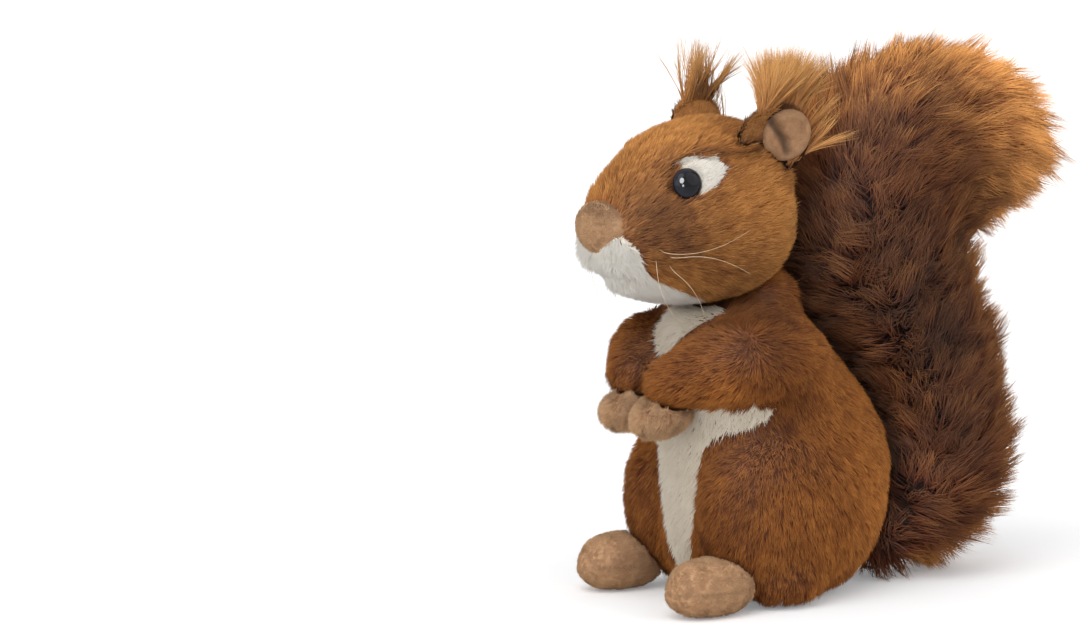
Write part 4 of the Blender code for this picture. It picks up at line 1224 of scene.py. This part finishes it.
def swollen(piece, seam_gap, pin_width, most):
    """Runs cloth with inside pressure, with the points near the seam pinned."""
    points, _, _ = arrays_of(piece)
    pins = piece.vertex_groups.new(name="seam")
    for k in np.flatnonzero(seam_gap(points) < pin_width).tolist():
        pins.add([k], 1.0, "REPLACE")
    only(piece)
    cloth = piece.modifiers.new("stuffing", "CLOTH")
    cloth.settings.use_pressure = True
    cloth.settings.uniform_pressure_force = STUFFING_PRESSURE
    cloth.settings.effector_weights.gravity = 0.0
    cloth.settings.vertex_group_mass = "seam"
    cloth.settings.quality = 5
    cloth.point_cache.frame_start, cloth.point_cache.frame_end = 1, CLOTH_STEPS
    for step in range(1, CLOTH_STEPS + 1):
        bpy.context.scene.frame_set(step)
    bpy.ops.object.modifier_apply(modifier=cloth.name)
    bpy.context.scene.frame_set(1)
    moved = arrays_of(piece)[0] - points
    far = np.linalg.norm(moved, axis=1, keepdims=True)
    reshaped(piece, points + moved * np.minimum(1.0, most / np.maximum(far, 1e-9)))
    piece.vertex_groups.clear()


# %% Feet
def grooved(piece, lines, width, depth):
    """Draws the velour in along lines that are given on the left side and mirrored."""
    points, _, normals = arrays_of(piece)
    for line in lines:
        points = pressed(points, normals, line, width, depth)
    return reshaped(piece, points)


def any_way(places):
    return np.stack([np.sin(places[:, 1] * 700), np.cos(places[:, 0] * 900),
                     -0.4 * np.ones(len(places))], axis=1)


def napped(piece, count, depth, rng, avoid, width=0.42):
    """A nap of very short fibres that lie all ways and keep clear of the pieces to avoid."""
    roots, normals = scattered(piece, count, rng)
    keep = (roots[:, 2] > 0.8 * MM) & ~inside_any(roots + normals * depth, avoid)
    return short_pile(f"{piece.name}_nap", roots[keep], normals[keep], depth, 42, width * MM,
                      any_way, rng, 0.2, 0.6, 0.75)


low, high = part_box("foot_left")
middle_x, half_height = (low.x + high.x) / 2, (low.z + high.z) * 0.46
TOES = [
    np.array([(middle_x + aside, low.y - 0.002, half_height - 0.004),
              (middle_x + aside, low.y + 0.004, half_height + 0.0085)])
    for aside in (-0.0045, 0.0045)
]


def sole_gap(points):
    return np.abs(points[:, 2] - half_height)


for number, side in enumerate(("left", "right")):
    node = f"foot_{side}"
    foot = evened(copy_of(f"{node}_velour", node), 1.0 * MM, 6)
    swollen(foot, sole_gap, 0.8 * MM, 1.0 * MM)
    points, _, normals = arrays_of(foot)
    near = bell(sole_gap(points), 0.8 * MM) * 0.35 * MM
    points -= normals * near[:, None]
    # the seam's groove is darkened as painted shade
    grooved(creased(reshaped(foot, points), near / MM * 0.9), TOES, 0.9 * MM, 0.5 * MM)
    nap = napped(foot, 11000, 0.75 * MM, np.random.default_rng(60 + number), (f"haunch_{side}",))
    settled(foot, tan_velour, [node])
    settled(nap, tan_nap)
print("feet ready")

# %% Paws
low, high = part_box("paw_left")
middle = (low + high) / 2
FINGERS = [
    np.array([(middle.x + aside, low.y - 0.001, middle.z + 0.002),
              (middle.x + aside * 0.8, low.y + 0.004, low.z - 0.001),
              (middle.x + aside * 0.7, low.y + 0.012, low.z - 0.001)])
    for aside in (-0.0030, 0.0030)
]
for number, side in enumerate(("left", "right")):
    node = f"paw_{side}"
    paw = evened(copy_of(f"{node}_velour", node), 0.9 * MM, 4)
    swollen(paw, lambda points: gap_to_line(points, FINGERS[0]), 0.7 * MM, 0.8 * MM)
    grooved(paw, FINGERS, 1.2 * MM, 1.8 * MM)
    nap = napped(paw, 10000, 2.3 * MM, np.random.default_rng(70 + number), (f"arm_{side}",), 0.5)
    settled(paw, tan_velour, [node])
    settled(nap, paw_fuzz)
print("paws ready")

# %% Nose
nose = evened(copy_of("nose_velour", "nose"), 0.7 * MM, 6)
nose_nap = napped(nose, 7000, 0.6 * MM, np.random.default_rng(80), ("head", "muzzle"))
# the nose's tan is a little darker than the feet's all over, and its top has painted shade under
# the overhanging fur
creased(nose, 0.30 + np.clip((arrays_of(nose)[0][:, 2] / MM - 150) / 12, 0, 0.5))
settled(nose, tan_velour, ["nose"])
settled(nose_nap, tan_nap)
print("nose ready")

# %% [markdown]
# ## Safety eyes
#
# A safety eye is a moulded dome with a ribbed stem. The dome is turned from a sphere here:
# flattened along its own axis and cut off flat at the back. Its black is very slightly blue
# towards the rim, and its low roughness gives the sharp lamp reflections that make it look
# alive.

# %% Eye finish and domes
eye_gloss, tree, inputs = material_of("black eye plastic", {
    "Roughness": 0.06, "Specular IOR Level": 0.22})
rim = ranged(tree, attribute(tree, "iris"), 0.45, 0.8)
shade = mixed(tree, rim, (0.003, 0.003, 0.005, 1.0), (0.010, 0.011, 0.018, 1.0))
tree.links.new(shade, inputs["Base Color"])

EYE_WIDTH, EYE_BULGE = 12.0 * MM, 0.62
for side in ("left", "right"):
    node = f"eye_{side}"
    points, _, _ = arrays_of(frame["nodes"][node])
    gaps = np.linalg.norm(points[:, None] - points[None], axis=2)
    ends = points[list(np.unravel_index(gaps.argmax(), gaps.shape))]
    apex, stem = sorted(ends.tolist(), key=lambda end: -abs(end[0]))
    axis = (Vector(apex) - Vector(stem)).normalized()
    centre = Vector(apex) - axis * EYE_WIDTH / 2 * EYE_BULGE
    turn = axis.to_track_quat("Z", "Y").to_euler()
    bpy.ops.mesh.primitive_uv_sphere_add(segments=64, ring_count=32, radius=EYE_WIDTH / 2,
                                         location=centre, rotation=turn,
                                         scale=(1, 1, EYE_BULGE))
    eye = bpy.context.active_object
    eye.name = f"{node}_dome"
    bpy.ops.object.transform_apply(location=True, rotation=True, scale=True)
    bpy.ops.object.mode_set(mode="EDIT")
    bpy.ops.mesh.select_all(action="SELECT")
    bpy.ops.mesh.bisect(plane_co=centre - axis * 0.8 * MM, plane_no=-axis, use_fill=True,
                        clear_outer=True)
    bpy.ops.object.mode_set(mode="OBJECT")
    bpy.ops.object.shade_smooth_by_angle(angle=math.radians(50))
    off = arrays_of(eye)[0] - np.array(centre)
    aside = np.linalg.norm(off - np.outer(off @ np.array(axis), np.array(axis)), axis=1)
    marked(eye, "iris", aside / (EYE_WIDTH / 2))
    settled(eye, eye_gloss, [node])
print("eye centre", [round(x / MM, 1) for x in centre])

# %% Washers
washer_finish = cloth_finish("moulded washer", (0.46, 0.46, 0.45), (0.54, 0.54, 0.53), 0.002,
                             0.004, 0.00005, 0.0)
for side in ("left", "right"):
    frame["nodes"][f"eye_washer_{side}"].data.materials.clear()
    frame["nodes"][f"eye_washer_{side}"].data.materials.append(washer_finish)

# %% [markdown]
# ## Whiskers
#
# Each whisker is one stiff nylon thread, pulled through the cheek. The CAD thread gives the
# line: its points are put in order along its length, averaged ring by ring, and a smooth curve
# with a round, tapering bevel runs through them.

# %% Whisker threads
thread_finish, tree, inputs = material_of("pale nylon thread", {"Roughness": 0.35})
shade = mixed(tree, noise(tree, 240.0), (0.52, 0.34, 0.18, 1.0), (0.80, 0.64, 0.44, 1.0))
tree.links.new(shade, inputs["Base Color"])

THREAD = 0.12 * MM
for node in sorted(name for name in frame["nodes"] if name.startswith("whisker")):
    points, _, _ = arrays_of(frame["nodes"][node])
    off = points - points.mean(axis=0)
    run = np.linalg.svd(off, full_matrices=False)[2][0]
    order = np.argsort(off @ run)
    rings = [points[part].mean(axis=0) for part in np.array_split(order, 7)]
    if np.abs(rings[0][0]) > np.abs(rings[-1][0]):
        rings.reverse()
    line = bpy.data.curves.new(f"{node}_thread", "CURVE")
    line.dimensions = "3D"
    line.bevel_depth = THREAD
    line.bevel_resolution = 2
    line.use_fill_caps = True
    thread = line.splines.new("NURBS")
    thread.points.add(len(rings) - 1)
    thread.use_endpoint_u = True
    thread.order_u = 4
    thread.resolution_u = 6
    for k, (point, spot) in enumerate(zip(thread.points, rings)):
        point.co = (*spot, 1.0)
        point.radius = 1.0 - 0.7 * k / (len(rings) - 1)
    curve = placed(f"{node}_thread", line)
    only(curve)
    bpy.ops.object.convert(target="MESH")
    settled(curve, thread_finish, [node])
print("whiskers ready")

# %% Sizes and finish
low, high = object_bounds()
